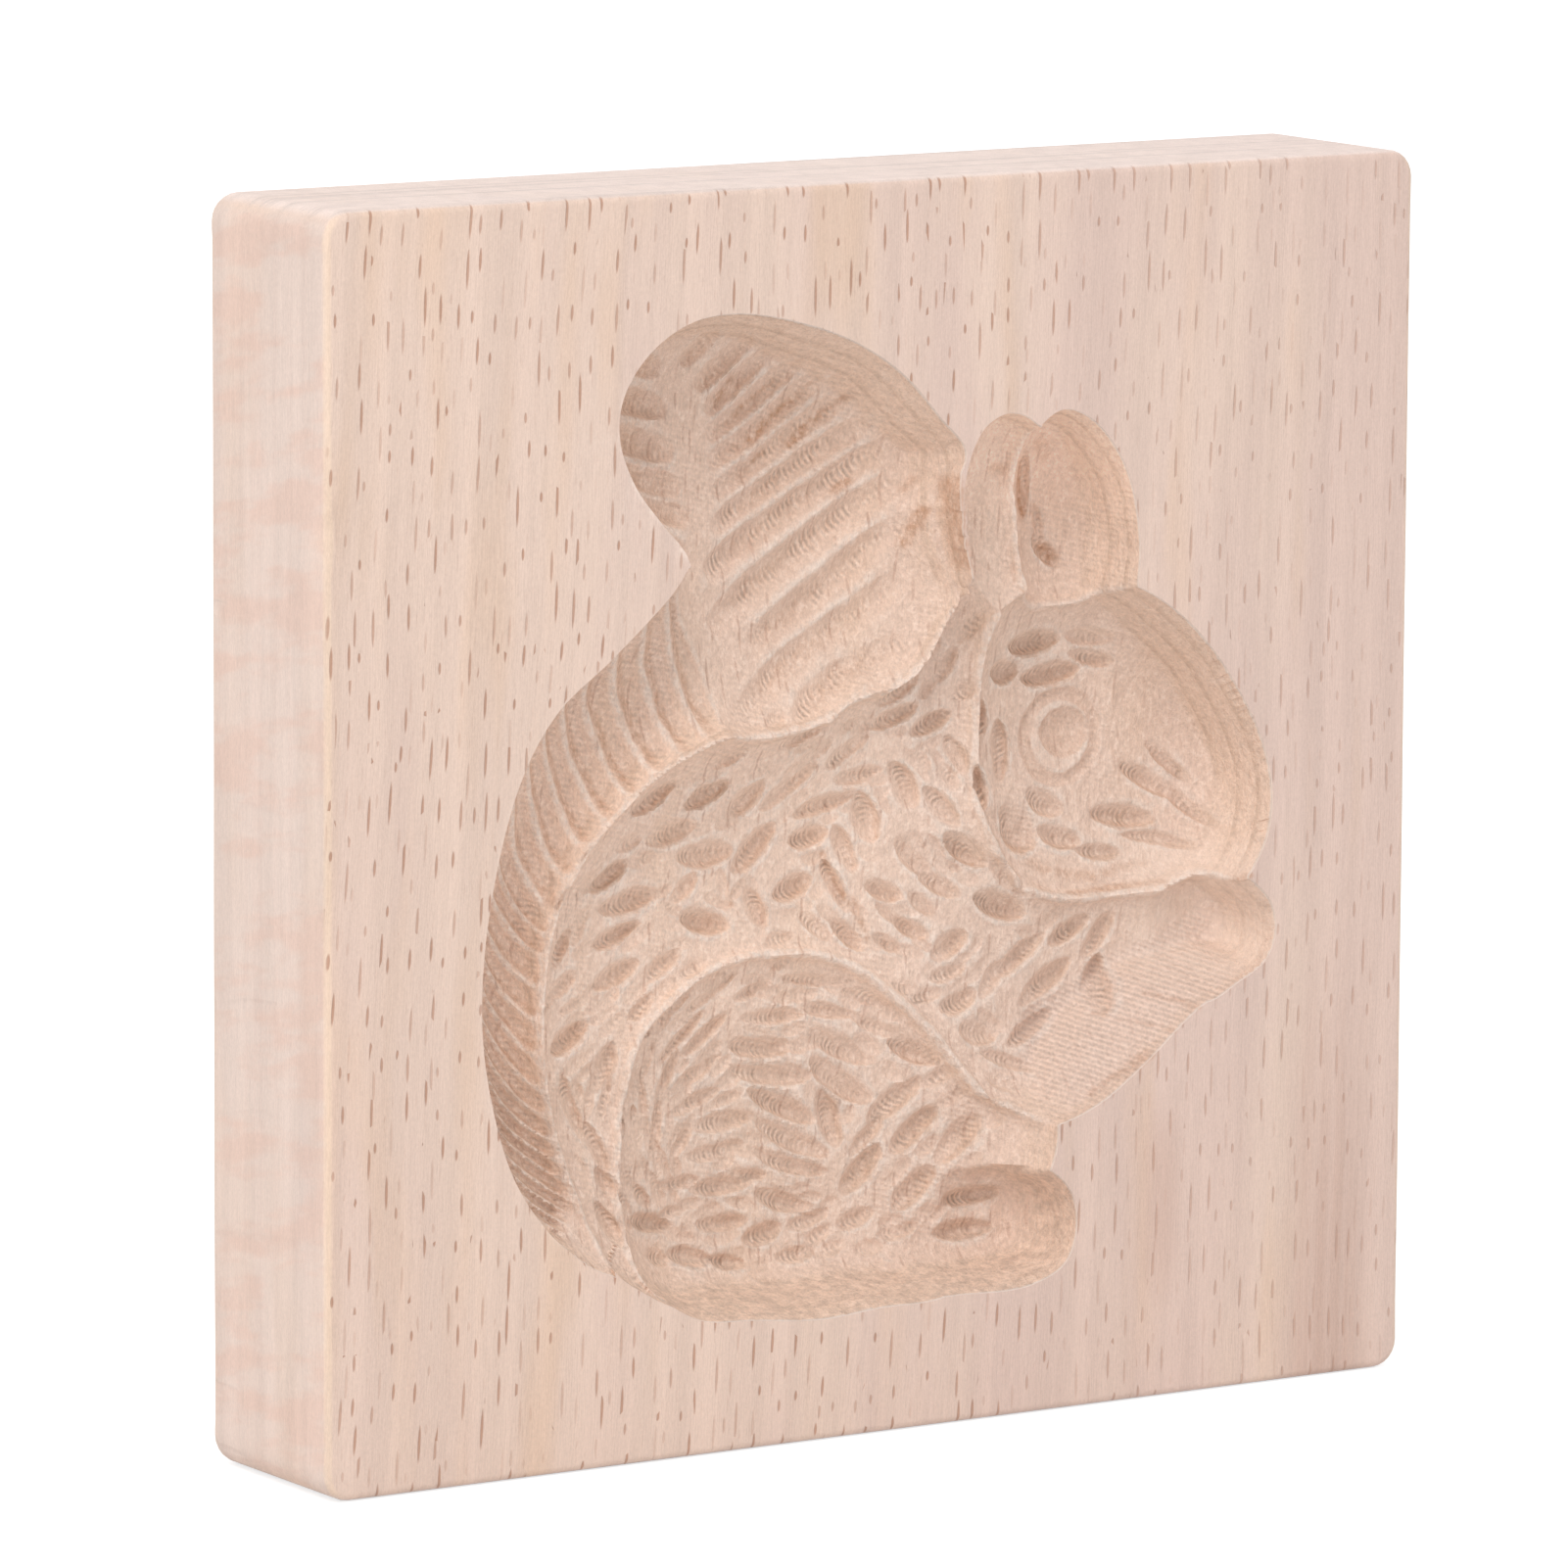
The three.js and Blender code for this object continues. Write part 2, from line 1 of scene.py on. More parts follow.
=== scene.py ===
"""A carved beech cookie mould: one square block with a squirrel hollowed into its face.

The block stands on its lower edge and the carved face looks towards -Y. The shapes are worked
out in millimetres and the meshes are made in metres.
"""

import math

import bpy
import numpy as np
from mathutils import Matrix, Vector, geometry, kdtree


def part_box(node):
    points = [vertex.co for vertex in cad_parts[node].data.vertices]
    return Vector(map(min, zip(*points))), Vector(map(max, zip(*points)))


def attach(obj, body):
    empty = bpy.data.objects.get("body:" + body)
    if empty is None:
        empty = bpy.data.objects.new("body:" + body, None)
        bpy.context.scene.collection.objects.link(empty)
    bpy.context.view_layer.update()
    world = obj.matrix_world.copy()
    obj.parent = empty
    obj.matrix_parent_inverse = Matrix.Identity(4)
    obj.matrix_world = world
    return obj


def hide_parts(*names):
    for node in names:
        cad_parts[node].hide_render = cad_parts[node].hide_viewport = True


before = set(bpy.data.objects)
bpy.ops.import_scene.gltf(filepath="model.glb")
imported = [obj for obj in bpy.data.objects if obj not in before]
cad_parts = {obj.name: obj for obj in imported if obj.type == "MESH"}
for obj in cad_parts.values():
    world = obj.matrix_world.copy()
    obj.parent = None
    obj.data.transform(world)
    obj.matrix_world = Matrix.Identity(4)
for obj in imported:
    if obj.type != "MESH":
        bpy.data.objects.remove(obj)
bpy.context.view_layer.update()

MM = 0.001

# The block, from the solid that it dresses
block_low, block_high = (np.array(corner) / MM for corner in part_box("mould_block"))
FACE_Y = block_low[1]
CORNER_RADIUS = 2.6
FRONT_ARRIS = 0.8
BACK_ARRIS = 2.2

# Steps round each corner or arris, along the left side with its chip, along the other sides, and
# from front to back
ROUNDING_STEPS = 6
LEFT_STEPS = 150
SIDE_STEPS = 30
THICKNESS_STEPS = 5

# The left and right sides are worn by up to eight times this, between these heights
WEAR = 0.012
WORN_HEIGHTS = (4, 114)

# Torn chip on the left front edge
CHIP_HEIGHT = 88.0
CHIP_LENGTH = 5.0
CHIP_DEPTH = 0.45
CHIP_REACH = 0.9

# Height of the figure's sole above the standing edge
SOLE = 12.0

# Where the photograph was taken from: angles in degrees, lengths in millimetres
YAW = 32.72
PITCH = 8.75
ROLL = 0.30
FOCAL_LENGTH = 252.7
SENSOR_WIDTH = 36.0
BLOCK_IN_VIEW = Vector((8.9, -60.9, 1033.0))

# Grid of the carved surface, and the distance up to which two points of the flat are one
STEP = 0.26
SAME_POINT = 0.0001
# Rounds of smoothing that give the level of the surface round a cut
LEVEL_ROUNDS = 24
# Edges that turn more than this many degrees are shaded as sharp
SHARP_ANGLE = 48

# Hollows that are rounded in every direction: the outline where each meets the face, or would
# meet it if no deeper one lay over it, the deepest point, the fullness that flattens the floor
# and the steepness of the walls, where it isn't the usual one. Points are x from the block's
# middle and height above the sole. Some are fuller in the direction of their open rim, given as an
# angle from level in degrees.
STEEPNESS = 2.0
BOWLS = {
    "tail_fan": dict(depth=7.6, fullness=4, steepness=2.2, centre=(-7, 75), open_side=55,
                     open_fullness=6.5, outline=[
        (-21.4, 72), (-24.2, 75.4), (-27.2, 79.2), (-28.9, 83.6), (-28.5, 87.4), (-25.8, 91.2),
        (-21.5, 93.8), (-16.5, 94.5), (-9, 93.2), (-2.8, 90.9), (2.3, 87.6), (6.3, 83.4),
        (9.1, 80.2), (8.2, 77), (8.5, 71.5), (10.3, 66), (8, 58.5), (-2, 53), (-14, 54),
        (-19.8, 62),
    ]),
    "body": dict(depth=8.4, fullness=3, centre=(-8, 36), outline=[
        (-26.3, 4.2), (-31, 8), (-35, 13.4), (-37, 20.4), (-37.8, 28), (-37.2, 34.8), (-34.3, 42),
        (-29, 48.5), (-21.5, 53.3), (-12, 55.9), (-3, 57.2), (6, 57.8), (15, 54.5), (22, 47),
        (27, 38), (28, 28), (21, 19), (8, 10), (-6, 6), (-19.5, 1.6),
    ]),
    "neck": dict(depth=7.4, fullness=2.8, centre=(9, 54), outline=[
        (-3, 56.4), (3, 58.6), (7.2, 61.6), (10.2, 66.6), (13.2, 69.6), (16.4, 66), (19, 56),
        (18, 46), (11, 41), (2, 43), (-4, 50),
    ]),
    "haunch": dict(depth=10, fullness=2.8, centre=(-6, 14), open_side=-95,
                   open_fullness=7.5, outline=[
        (-6, 43.2), (3.3, 41.2), (9.8, 35.8), (14.4, 27.6), (16.4, 19.8), (17.5, 12), (15, 5),
        (8, 0.4), (0, -0.1), (-6.5, -0.5), (-14, 0.2), (-20, 0.9), (-24.8, 4.2), (-27.4, 9.6),
        (-29.2, 15.5), (-29.6, 22.5), (-28.3, 31.6), (-19.3, 41.2),
    ]),
    "head": dict(depth=9.2, fullness=3.2, centre=(28, 50), open_side=15,
                 open_fullness=5, outline=[
        (19, 67.5), (25, 67.3), (30, 65.5), (35, 62), (39.9, 56.2), (43.3, 50), (44.4, 44.5),
        (43.3, 39.8), (39, 34.8), (32, 31.8), (24, 31.8), (18, 35), (13.8, 41), (11.8, 48),
        (11.4, 56), (13.5, 64),
    ]),
    "front_ear": dict(depth=8, fullness=2.4, steepness=1.8, centre=(22.8, 71), open_side=40,
                      open_fullness=3.4, outline=[
        (28.8, 68), (28.5, 73), (27.4, 77), (25.3, 80.4), (22.7, 82.7), (20, 83.5), (17.4, 82.1),
        (15.6, 79), (16.2, 73), (17.5, 66), (20, 60), (27, 60),
    ]),
    "back_ear": dict(depth=5, fullness=3, centre=(14.6, 73), outline=[
        (17.3, 82), (14.2, 83.5), (11.4, 82.5), (9.7, 80), (8.9, 76.5), (9.4, 71.3), (12, 62),
        (17.5, 61), (20, 68), (19.5, 76),
    ]),
    "nape": dict(depth=3.8, fullness=3, centre=(7.9, 74), outline=[
        (8.3, 79.4), (6.4, 78), (6, 74), (7, 70), (9, 66.5), (10.6, 64), (9.9, 68), (8.9, 72),
        (8.5, 76),
    ]),
    "arm": dict(depth=7.8, fullness=2.4, centre=(27, 29.5), outline=[
        (9.8, 25.5), (11.6, 17.8), (16.5, 15.3), (20.5, 15.5), (25, 17.1), (30, 20.4), (36, 25.1),
        (41, 27.6), (43.6, 30.5), (43, 35.5), (38, 38.6), (30, 42), (18, 41), (12, 36),
    ]),
    "paw": dict(depth=7.2, fullness=3, centre=(38.8, 32.6), outline=[
        (45, 32), (43.9, 29.3), (40.5, 27.2), (36.8, 25.7), (33.6, 28), (32.6, 32.5), (35, 37),
        (38.8, 38.4), (42, 37.1), (44.4, 34.7),
    ]),
    "foot": dict(depth=8.4, fullness=3, centre=(12, 6.2), open_side=-20,
                 open_fullness=4.5, outline=[
        (22.3, 5), (21.8, 8.6), (19, 11.3), (13, 12.6), (5, 12), (-1, 7), (1, 1.2), (10, 0.2),
        (17, 0.3), (21, 2),
    ]),
    "knee": dict(depth=6.5, fullness=2.6, centre=(6, 16), outline=[
        (20, 16), (19, 10.5), (14, 6), (4, 5), (-6, 10), (-6, 20), (4, 22.5), (10.8, 21.8),
        (16.4, 18.8),
    ]),
}

# The lower tail is a channel: points of its rim, of its hidden edge under the body, and the
# share of the full depth there, from the lower tip to the bend
BRUSH_DEPTH = 5.8
BRUSH_STEEPNESS = 1.4
BRUSH = [
    ((-29, 5.8), (-25, 9), 0.4), ((-32.3, 7.4), (-27.5, 14), 0.6),
    ((-36.8, 11.3), (-30.5, 20), 0.8), ((-40.6, 17.3), (-32.5, 26), 0.97),
    ((-43, 26), (-32.8, 32), 1), ((-43.5, 34), (-32, 38), 1), ((-42.3, 43.3), (-29, 44), 1),
    ((-39.6, 52.4), (-24, 49), 1), ((-35.6, 58.8), (-18, 53), 1), ((-29.6, 63.5), (-12, 56), 1),
    ((-23.6, 68.6), (-6, 58), 1), ((-21.4, 71.4), (-4, 62), 1),
]

# Hollows that run into each other without an edge, and how far from the join they blend
BLENDS = [
    ("arm", "body", 3.0), ("knee", "haunch", 3.0), ("foot", "haunch", 1.2),
    ("tail_fan", "brush", 2.5), ("neck", "body", 3.0), ("arm", "paw", 1.5),
]
# The blends fade out where the hollow is shallower than this
BLEND_FADE = 2.5

# Edges where two hollows meet stand up as ridges of this height
RIDGES = [
    ("body", "brush", 0.9), ("body", "tail_fan", 0.7), ("haunch", "body", 0.95),
    ("haunch", "arm", 0.8), ("haunch", "brush", 0.6), ("head", "neck", 0.8), ("head", "arm", 0.8),
    ("head", "body", 0.8), ("head", "paw", 0.7), ("neck", "tail_fan", 0.6),
    ("front_ear", "back_ear", 0.7), ("head", "front_ear", 0.4), ("knee", "arm", 0.6),
]
RIDGE_WIDTH = 0.58

# How far the wall and the floor blend where they meet, and how far a sheer drop leans in
FOOT_ROUNDING = 0.35
DROP_LEAN = 0.3
# The hollow is at least this deep inside its rim
LEAST_DEPTH = 0.02

# Walls at places along the rim: x, z, slope in depth over breadth, and the sheer drop above it
WALLS = [
    (-28, 84, 3, 0.25), (-17, 95, 2.2, 0.25), (-4, 92, 1.9, 0.25), (5, 85, 1.9, 0.25),
    (9, 80.4, 1.9, 0.25), (8.2, 77.2, 1.8, 2.4), (8.5, 72, 1.8, 2.4), (10, 67, 2, 2),
    (12, 82, 3, 0.3), (10.3, 74, 3, 0.3), (24, 82, 3, 0.3), (28.8, 72, 4.5, 0.3),
    (31, 65, 2.6, 0.25), (40, 56, 3.2, 0.25), (45, 44, 3.4, 0.25), (43, 37, 3.2, 0.25),
    (45, 31, 3, 0.25), (40, 27, 1.5, 0.6), (34, 23, 0.8, 1.1), (26, 18, 0.75, 1.1),
    (20, 15, 1.5, 0.8), (22, 6, 6, 0.3), (18, 0.3, 4.5, 0.3), (14, 0, 4, 0.3), (-6, 0, 4.2, 0.3),
    (-22, 2, 4, 0.3), (-36, 10, 3, 0.25), (-43, 30, 4, 0.25), (-36, 58, 4, 0.25),
]

# Grooves of the tail: from the spine or the rim to the other end, width, and how far the deepest
# line leans to the right of the groove's middle, or to its left where negative. The depth is a
# share of the width.
TAIL_GROOVES = [
    ((-18.4, 89.6), (-15.8, 92.6), 2.2, 0.3), ((-16.6, 87.2), (-11.8, 91.7), 2.6, 0.5),
    ((-15.4, 84.6), (-9.2, 90.3), 2.8, 0.5), ((-14.8, 82.2), (-5.4, 89), 3, 0.5),
    ((-14.4, 79.6), (-2.6, 87.3), 3.1, 0.4), ((-13.6, 76.6), (0.2, 85.1), 3.4, 0.1),
    ((-14, 73.2), (2.4, 82.6), 3.8, 0.05), ((-14.8, 69.2), (4.2, 79.9), 4.4, -0.05),
    ((-14.4, 64.2), (5.6, 76.9), 4.6, -0.1), ((-10.5, 61.2), (6.2, 72.7), 4.4, -0.1),
    ((-12, 56.4), (6.2, 67.6), 4.2, -0.1), ((-6.5, 55.2), (6.4, 62.2), 3.6, -0.1),
    ((-26.4, 90.7), (-20.6, 89.2), 2.6, 0.4), ((-28.8, 87.6), (-19.4, 85.2), 3.1, 0.5),
    ((-29.6, 84.2), (-18.6, 80.9), 3.3, 0.5), ((-28.8, 81), (-17.8, 77.4), 3.2, 0.5),
    ((-26.4, 78.2), (-17, 74.6), 3, 0.4), ((-24, 75.2), (-17.4, 71.2), 2.6, 0.3),
]
GROOVE_DEPTH = 0.31
# Reddish stain and painted shade along the grooves' deepest lines
GROOVE_STAIN_AND_SHADE = 0.42
# Added to the place along a groove, or taken off it where the cutter left clear rows below this
# height
TAIL_STROKE = 40.0
PLAIN_GROOVES = 78.0
# The fan's grooves get shallower towards this height
LOW_GROOVE = 42.0
LOW_GROOVE_RANGE = 28.0

# Grooves of the lower tail: shares of its length and the number of grooves up to there, counted
# from one near the tip
BRUSH_GROOVES = (
    (0, -5.37), (0.18, -2.49), (0.27, -0.51), (0.36, 1.92), (0.62, 11.54), (1, 20.8),
)
# Where the bottom lies between one groove's edge and the next, and the darker shaded side
BRUSH_GROOVE_BOTTOM = 0.57
BRUSH_SHADE = 0.28
# Their slant, which grows below this share of the channel's length, and their reach across it
BRUSH_GROOVE_SLANT = 0.183
STEEPER_BELOW = 0.58
STEEPER_RANGE = 0.36
STEEPER_SLANT = 0.32
BRUSH_GROOVE_REACH = 0.95
BRUSH_GROOVE_DEPTH = 0.9
# Strength of the painted shade on the shaded side of each groove
BRUSH_GROOVE_PAINTED_SHADE = 0.62
# Only this part of the channel's length has them
BRUSH_GROOVED = (0.115, 0.97)

# Scoops of the fur as they are seen from the camera on the face: x, height above the standing
# edge, length, width, and angle from level in degrees
SPARSE_SCOOPS = [
    # Crown and cheek
    (17, 74.1, 5.6, 2.4, 0), (13.8, 71.8, 3.6, 2.4, -8), (19.1, 71, 6, 2.4, 4),
    (23.5, 74.1, 5, 1.7, -5), (23.7, 72.2, 4.8, 1.5, -12), (13.3, 63.7, 5.8, 2.3, 94),
    (11.2, 67.2, 4, 1.8, 100), (18.7, 58.7, 4.4, 2.5, -28), (15.6, 56.3, 5.2, 3.9, -40),
    (20.3, 55.2, 4.6, 2.2, -20), (11, 60, 4.6, 2.4, 108), (30.3, 59.5, 6.2, 1.9, -28),
    (32.6, 61.2, 5.2, 1.4, -38), (27.4, 56.3, 6.4, 2.3, -12), (31.4, 53.8, 7.4, 1.3, -8),
    (34.4, 57.4, 6.6, 1.5, -38), (24.6, 53.2, 4.4, 1.5, -12), (13.6, 52, 4, 1.8, -52),
    # Forearm
    (24.5, 45.3, 4.6, 2.2, 56), (24.4, 40.4, 5.4, 2.4, 74), (21.2, 46.2, 4.6, 1.9, 30),
    # Toes
    (10.3, 21.6, 5.6, 2, 5), (9.4, 18.3, 6, 2.1, 0),
    # Ears
    (15.3, 88.8, 6.6, 1.8, 97), (18.3, 82.4, 3.8, 1.7, -45), (17.3, 84.8, 4, 1.1, 105),
]
FUR_SCOOPS = [
    # Back and flank
    (-25.1, 62.2, 5.4, 2.1, 22), (-19.3, 62.2, 4.9, 2.1, 26), (-15.1, 61.6, 4.6, 2.3, 40),
    (-23.4, 58.9, 5.8, 2.3, 10), (-19.7, 56.8, 6, 2.7, 3), (-14.3, 57, 5.8, 2.6, 42),
    (-30.1, 55.5, 4.5, 2, 28), (-28, 53, 6, 2.4, 9), (-10.5, 62.4, 6.4, 1.9, 34),
    (-6.3, 60.3, 6.6, 1.9, 12), (-8, 57.4, 4, 2.4, 8), (-8.8, 66.8, 5.4, 1.4, 20),
    (-2.6, 62.7, 5.2, 1.8, 4), (2, 70.8, 5.2, 2.1, 36), (1.2, 68.3, 5.2, 1.9, 26),
    (5.3, 67.4, 4.6, 2.2, 22), (7, 72.8, 3.4, 1.6, 62), (-1.9, 58.6, 5, 2.9, -64),
    (2.2, 61.2, 4.6, 2.8, -58), (-4, 65, 5.4, 1.7, 28), (-4.1, 55.7, 4.8, 2, -62),
    (-5.1, 52.2, 5.4, 1.6, -63), (-9.7, 52.7, 4.2, 2.6, 14), (-14.2, 51.1, 4.6, 2.2, -64),
    (-35.1, 49.1, 4, 2, 52), (-35.1, 45.8, 3.9, 2.1, 24), (-29.3, 49.9, 5, 1.9, 16),
    (-29.3, 46.2, 5, 2.4, 18), (-34.2, 40.8, 5, 2.6, 24), (-30.5, 37.4, 4.6, 2.5, 62),
    (-34, 34.1, 6.6, 2, -68), (-31.6, 30.2, 5.4, 1.7, -62), (-19.9, 50.4, 5.2, 2.6, -16),
    (-22.2, 53.6, 3.8, 1.7, 40), (-24.4, 46.4, 4.4, 1.7, 34), (-35.8, 53.4, 3.8, 1.6, 58),
    (-33.4, 57.6, 3.6, 1.5, 46), (-17, 65.2, 4.4, 1.4, 22), (1, 49.4, 3.6, 1.5, -38),
    # Chest and upper arm
    (0.4, 51.6, 3.8, 2, -22), (3.8, 54.6, 5, 2.2, -42), (6.3, 52, 5, 2, -34),
    (9.5, 54.8, 5.2, 2.3, -34), (3.2, 47.8, 4.4, 1.8, -34), (6.4, 58.8, 4.8, 2, -46),
    (8.2, 63.6, 4.4, 1.9, -62), (13.4, 49, 5.8, 2.9, -22), (7.4, 45.5, 3.8, 2.7, 30),
    (7.4, 43, 3.8, 1.9, 12), (8.7, 40.3, 4.2, 2.2, 16), (11.2, 37.4, 4.4, 2.5, -10),
    (15.6, 44, 6.6, 2, 36), (18.7, 41.4, 6.4, 2.5, 34), (17, 37, 5.2, 2, 24),
    (12.6, 42, 4, 1.8, 42), (14.2, 34.4, 5.6, 1.4, -24), (4.6, 50, 3.6, 1.6, -40),
    # Haunch
    (-13.4, 37.8, 6.4, 2.4, -8), (-12.2, 35.2, 8.4, 2.5, -10), (-10.9, 32, 8, 2.3, -25),
    (-20.5, 35.8, 6, 1.7, 30), (-20.5, 33.2, 5.6, 1.7, 18), (-17.6, 31, 6.8, 2, 2),
    (-9.7, 28.7, 8, 2.4, -25), (-4.2, 37, 7.2, 2.4, -26), (-4.2, 33.7, 7.4, 2.6, -34),
    (-5.6, 30.2, 5.4, 2.7, -72), (-18, 28.2, 6.2, 1.8, 4), (-17.6, 24.9, 6.8, 1.9, 2),
    (-9.7, 26.2, 7, 1.9, -17), (-10.5, 22.7, 6.2, 2.2, -20), (-17.6, 21.4, 5.4, 1.9, 0),
    (-25.5, 22, 5.6, 2, -17), (-21.3, 18.4, 4.8, 1.8, -10), (-24.6, 18.6, 3, 1.5, -20),
    (-13, 19.9, 4, 2.3, 10), (-2.2, 24.9, 5.6, 2.4, 45), (1.6, 31.2, 5.8, 2.6, 40),
    (3.9, 28.2, 5.6, 2.4, 45), (3.7, 22.8, 5, 2.6, 42), (8.7, 27, 5.4, 2.4, 52),
    (3.6, 35.9, 5, 2, -28), (-8, 20.6, 4.2, 1.8, 14), (2, 19, 4, 1.7, 10), (-3, 20.3, 3.8, 1.7, 22),
    (-12.2, 40.6, 6.6, 1.7, -2), (-20, 39.2, 6, 1.5, 38), (-23.8, 35.6, 5.4, 1.5, 60),
    (-25, 31, 5.4, 1.5, 78), (-6, 40.6, 6.2, 1.6, -12), (-0.2, 38.6, 6, 1.5, -26),
    (-22, 29.6, 4.2, 1.6, 50), (-22.4, 25.6, 4.8, 1.6, 0), (-16.8, 17.6, 4.2, 1.6, -8),
    (-9.4, 17.4, 4, 1.5, 4), (-1.4, 28, 4.6, 1.8, 44), (-14.4, 25.6, 3.4, 1.4, -8),
    (-19.6, 43, 7, 1.1, 32), (-14.5, 43.2, 4.2, 1.4, 18), (-7.4, 43.6, 7, 1.2, -6),
    (-1.6, 41.4, 6, 1.2, -24), (-26.4, 33.1, 5, 1.1, 96), (-24.8, 28.6, 5.2, 1.2, 102),
    (-26, 37.2, 4.4, 1.1, 64), (-22.4, 39.2, 6.4, 1.3, 44), (-30.3, 26.3, 3.8, 1.6, -57),
    (-29.9, 22.5, 4.8, 1.9, -58), (-26.4, 24.5, 3.4, 1.5, -50), (-23.4, 26.1, 6.4, 1.1, -68),
    # Between the haunch and the chest
    (0.8, 46.4, 3.6, 1.4, -30), (-7.3, 48.9, 4.6, 1.7, -40), (-3.8, 47.8, 4.8, 1.9, -42),
    (-11.6, 47.9, 3.4, 1.4, 6), (-26.6, 42.7, 3.4, 1.5, 40),
]
# Their least and greatest depth where they are this wide, factors on the lengths and widths above,
# how far the deepest line leans to the lower right, and the height of the lip beside them as a
# share of their depth
SCOOP_DEPTHS = (0.7, 1.2)
FULL_DEPTH_WIDTH = 2.4
SCOOP_LENGTH = 1.15
SCOOP_BREADTH = 1.2
SCOOP_LEAN = 0.4
SCOOP_LIP = 0.14

# Slight scoops that fill the fur between them: how many are tried, how far from one of them and
# turned by how many degrees, the least and greatest length, width and depth, and the least depth
# of the hollow there
FILLING_SCOOPS = 400
FILLING_REACH = 4
FILLING_TURN = 12
FILLING_SIZES = ((2.6, 1.3, 0.25), (4.6, 2.1, 0.5))
FILLING_FLOOR = 5
# A cut that is shallower than this doesn't count as one
SLIGHT_CUT = 0.1

# Beside the scoops and grooves the cutter went straight up, leaning by this
PLAIN_STROKE_SLANT = 0.21

# The rim and the cuts wander by this much, with lumps of this size in grid steps and this seed,
# for x and for the height
HAND_WANDER = 0.4
WANDER_LUMPS = (((34, 30), 5), ((32, 34), 6))

# Unevenness that the tool left: the lumps' size in grid steps, the seed and the height
UNEVENNESS = (((26, 20), 3, 0.14), ((9, 7), 1, 0.17), ((3.2, 2.6), 2, 0.05))

# Darker reddish marks of cut fibres, seen from the camera on the face in the same way: from x and
# height to x and height, width and strength
MARKS = [
    # Lower sides of the fan's grooves
    (-18.6, 98.9, -17, 100.8, 1.2, 0.8), (-16.8, 97, -15.5, 98.3, 1.1, 0.8),
    (-15.5, 98.3, -11.9, 100.5, 1, 0.6), (-14.6, 94.8, -12.7, 96.7, 1.2, 0.9),
    (-12.7, 96.7, -9.9, 98.4, 1.1, 0.8), (-9.9, 98.4, -8, 99.9, 0.9, 0.5),
    (-13.8, 93.2, -12.9, 93.8, 1, 0.8), (-9.9, 94.4, -8.2, 95.9, 1.2, 0.9),
    (-8.2, 95.9, -6.3, 97.2, 1, 0.7), (-6.3, 97.2, -4.1, 98.4, 0.8, 0.6),
    (-4.9, 89.6, -3.9, 90.3, 1.4, 0.8), (2.2, 84.1, 4.2, 86.9, 1.2, 0.8),
    (2, 89.1, 3.1, 90.1, 0.8, 0.5),
    # Nape
    (7.3, 89.6, 7.4, 86, 1.3, 0.7), (7.4, 86, 8.9, 81.4, 1.1, 0.6),
    # Ears
    (15.1, 91, 15.2, 88.5, 1.4, 1), (15.2, 88.5, 15.6, 86.2, 1.2, 1),
    (18, 82.9, 19.2, 81.7, 1.3, 0.8), (12, 90.6, 13, 90.3, 1.3, 0.5),
    (17.2, 93, 18, 91.6, 1.6, 0.4),
    # Cheek
    (15.6, 54, 19, 51.8, 1.2, 0.45), (19, 51.8, 24, 50.9, 1.1, 0.5), (24, 50.9, 30, 51.4, 1, 0.4),
    # Body
    (-6.3, 55.5, -2, 48, 0.5, 0.7), (-2.8, 50.8, -1.4, 46.6, 0.5, 0.6),
    (-17.2, 56, -16.6, 51.4, 0.4, 0.5),
    # Arm
    (30, 39, 36, 37.3, 0.5, 0.8), (24, 37.5, 33.5, 35.2, 0.4, 0.6), (24, 30, 31, 33.2, 0.5, 0.7),
    (21, 49.6, 32, 49.4, 0.5, 0.7), (40, 49.5, 42, 49.5, 0.6, 0.8),
]

# Eye, seen from the camera on the face in the same way: a ring groove round a scooped pupil
EYE_PLACE = (20.3, 64.8)
EYE_RING_RADIUS = 4.1
EYE_RING_WIDTH = 1.6
EYE_RING_DEPTH = 0.42
PUPIL_SHIFT = (0.6, 0.4)
PUPIL_WIDTH = 5.8
PUPIL_HEIGHT = 4.8
PUPIL_DEPTH = 0.8
# Painted shade in the ring groove and in the pupil
RING_PAINTED_SHADE = 0.22
PUPIL_PAINTED_SHADE = 0.25

# Wood
CREAM = (0.80, 0.615, 0.515, 1)
PINK = (0.745, 0.563, 0.487, 1)
ORANGE = (0.78, 0.55, 0.40, 1)
GREY_BROWN = (0.62, 0.43, 0.35, 1)
ARRIS = (0.86, 0.66, 0.49, 1)
FLECK = (0.50, 0.275, 0.19, 1)
RAY_BAND = (0.76, 0.515, 0.42, 1)
SIDE_TINT = (0.755, 0.635, 0.58, 1)
# End grain of the top and bottom, made paler as painted light on the top face
END_GRAIN_WITH_PAINTED_LIGHT = (0.88, 0.745, 0.69, 1)
END_LINES = (0.66, 0.55, 0.50, 1)
# The hollow's floor and walls: warmer cut wood, lightened as painted light against their shade
CARVED_FLOOR_WITH_PAINTED_LIGHT = (0.94, 0.685, 0.54, 1)
CARVED_WALL_WITH_PAINTED_LIGHT = (0.92, 0.69, 0.54, 1)
# Brown of the growth lines on the walls, and of the painted shade at the bottom of the cuts
GROOVE_BROWN_AND_SHADE = (0.44, 0.28, 0.18, 1)
# Reddish brown of fibre stains, and of painted shade in the grooves, the scoops and the eye
REDDISH_STAIN_AND_SHADE = (0.54, 0.27, 0.14, 1)
# Cream of painted highlights, of pale torn fibres, and of the paw's painted light
HIGHLIGHT_AND_PALE_FIBRE = (0.93, 0.77, 0.67, 1)

# Ray flecks in millimetres: the cells that hold one each, half their width, and the least and
# greatest half of their height
LARGE_FLECKS = ((2.1, 26.0, 4.5), 0.15, (0.5, 2.0))
SMALL_FLECKS = ((1.3, 17.0, 2.3), 0.08, (0.3, 0.9))
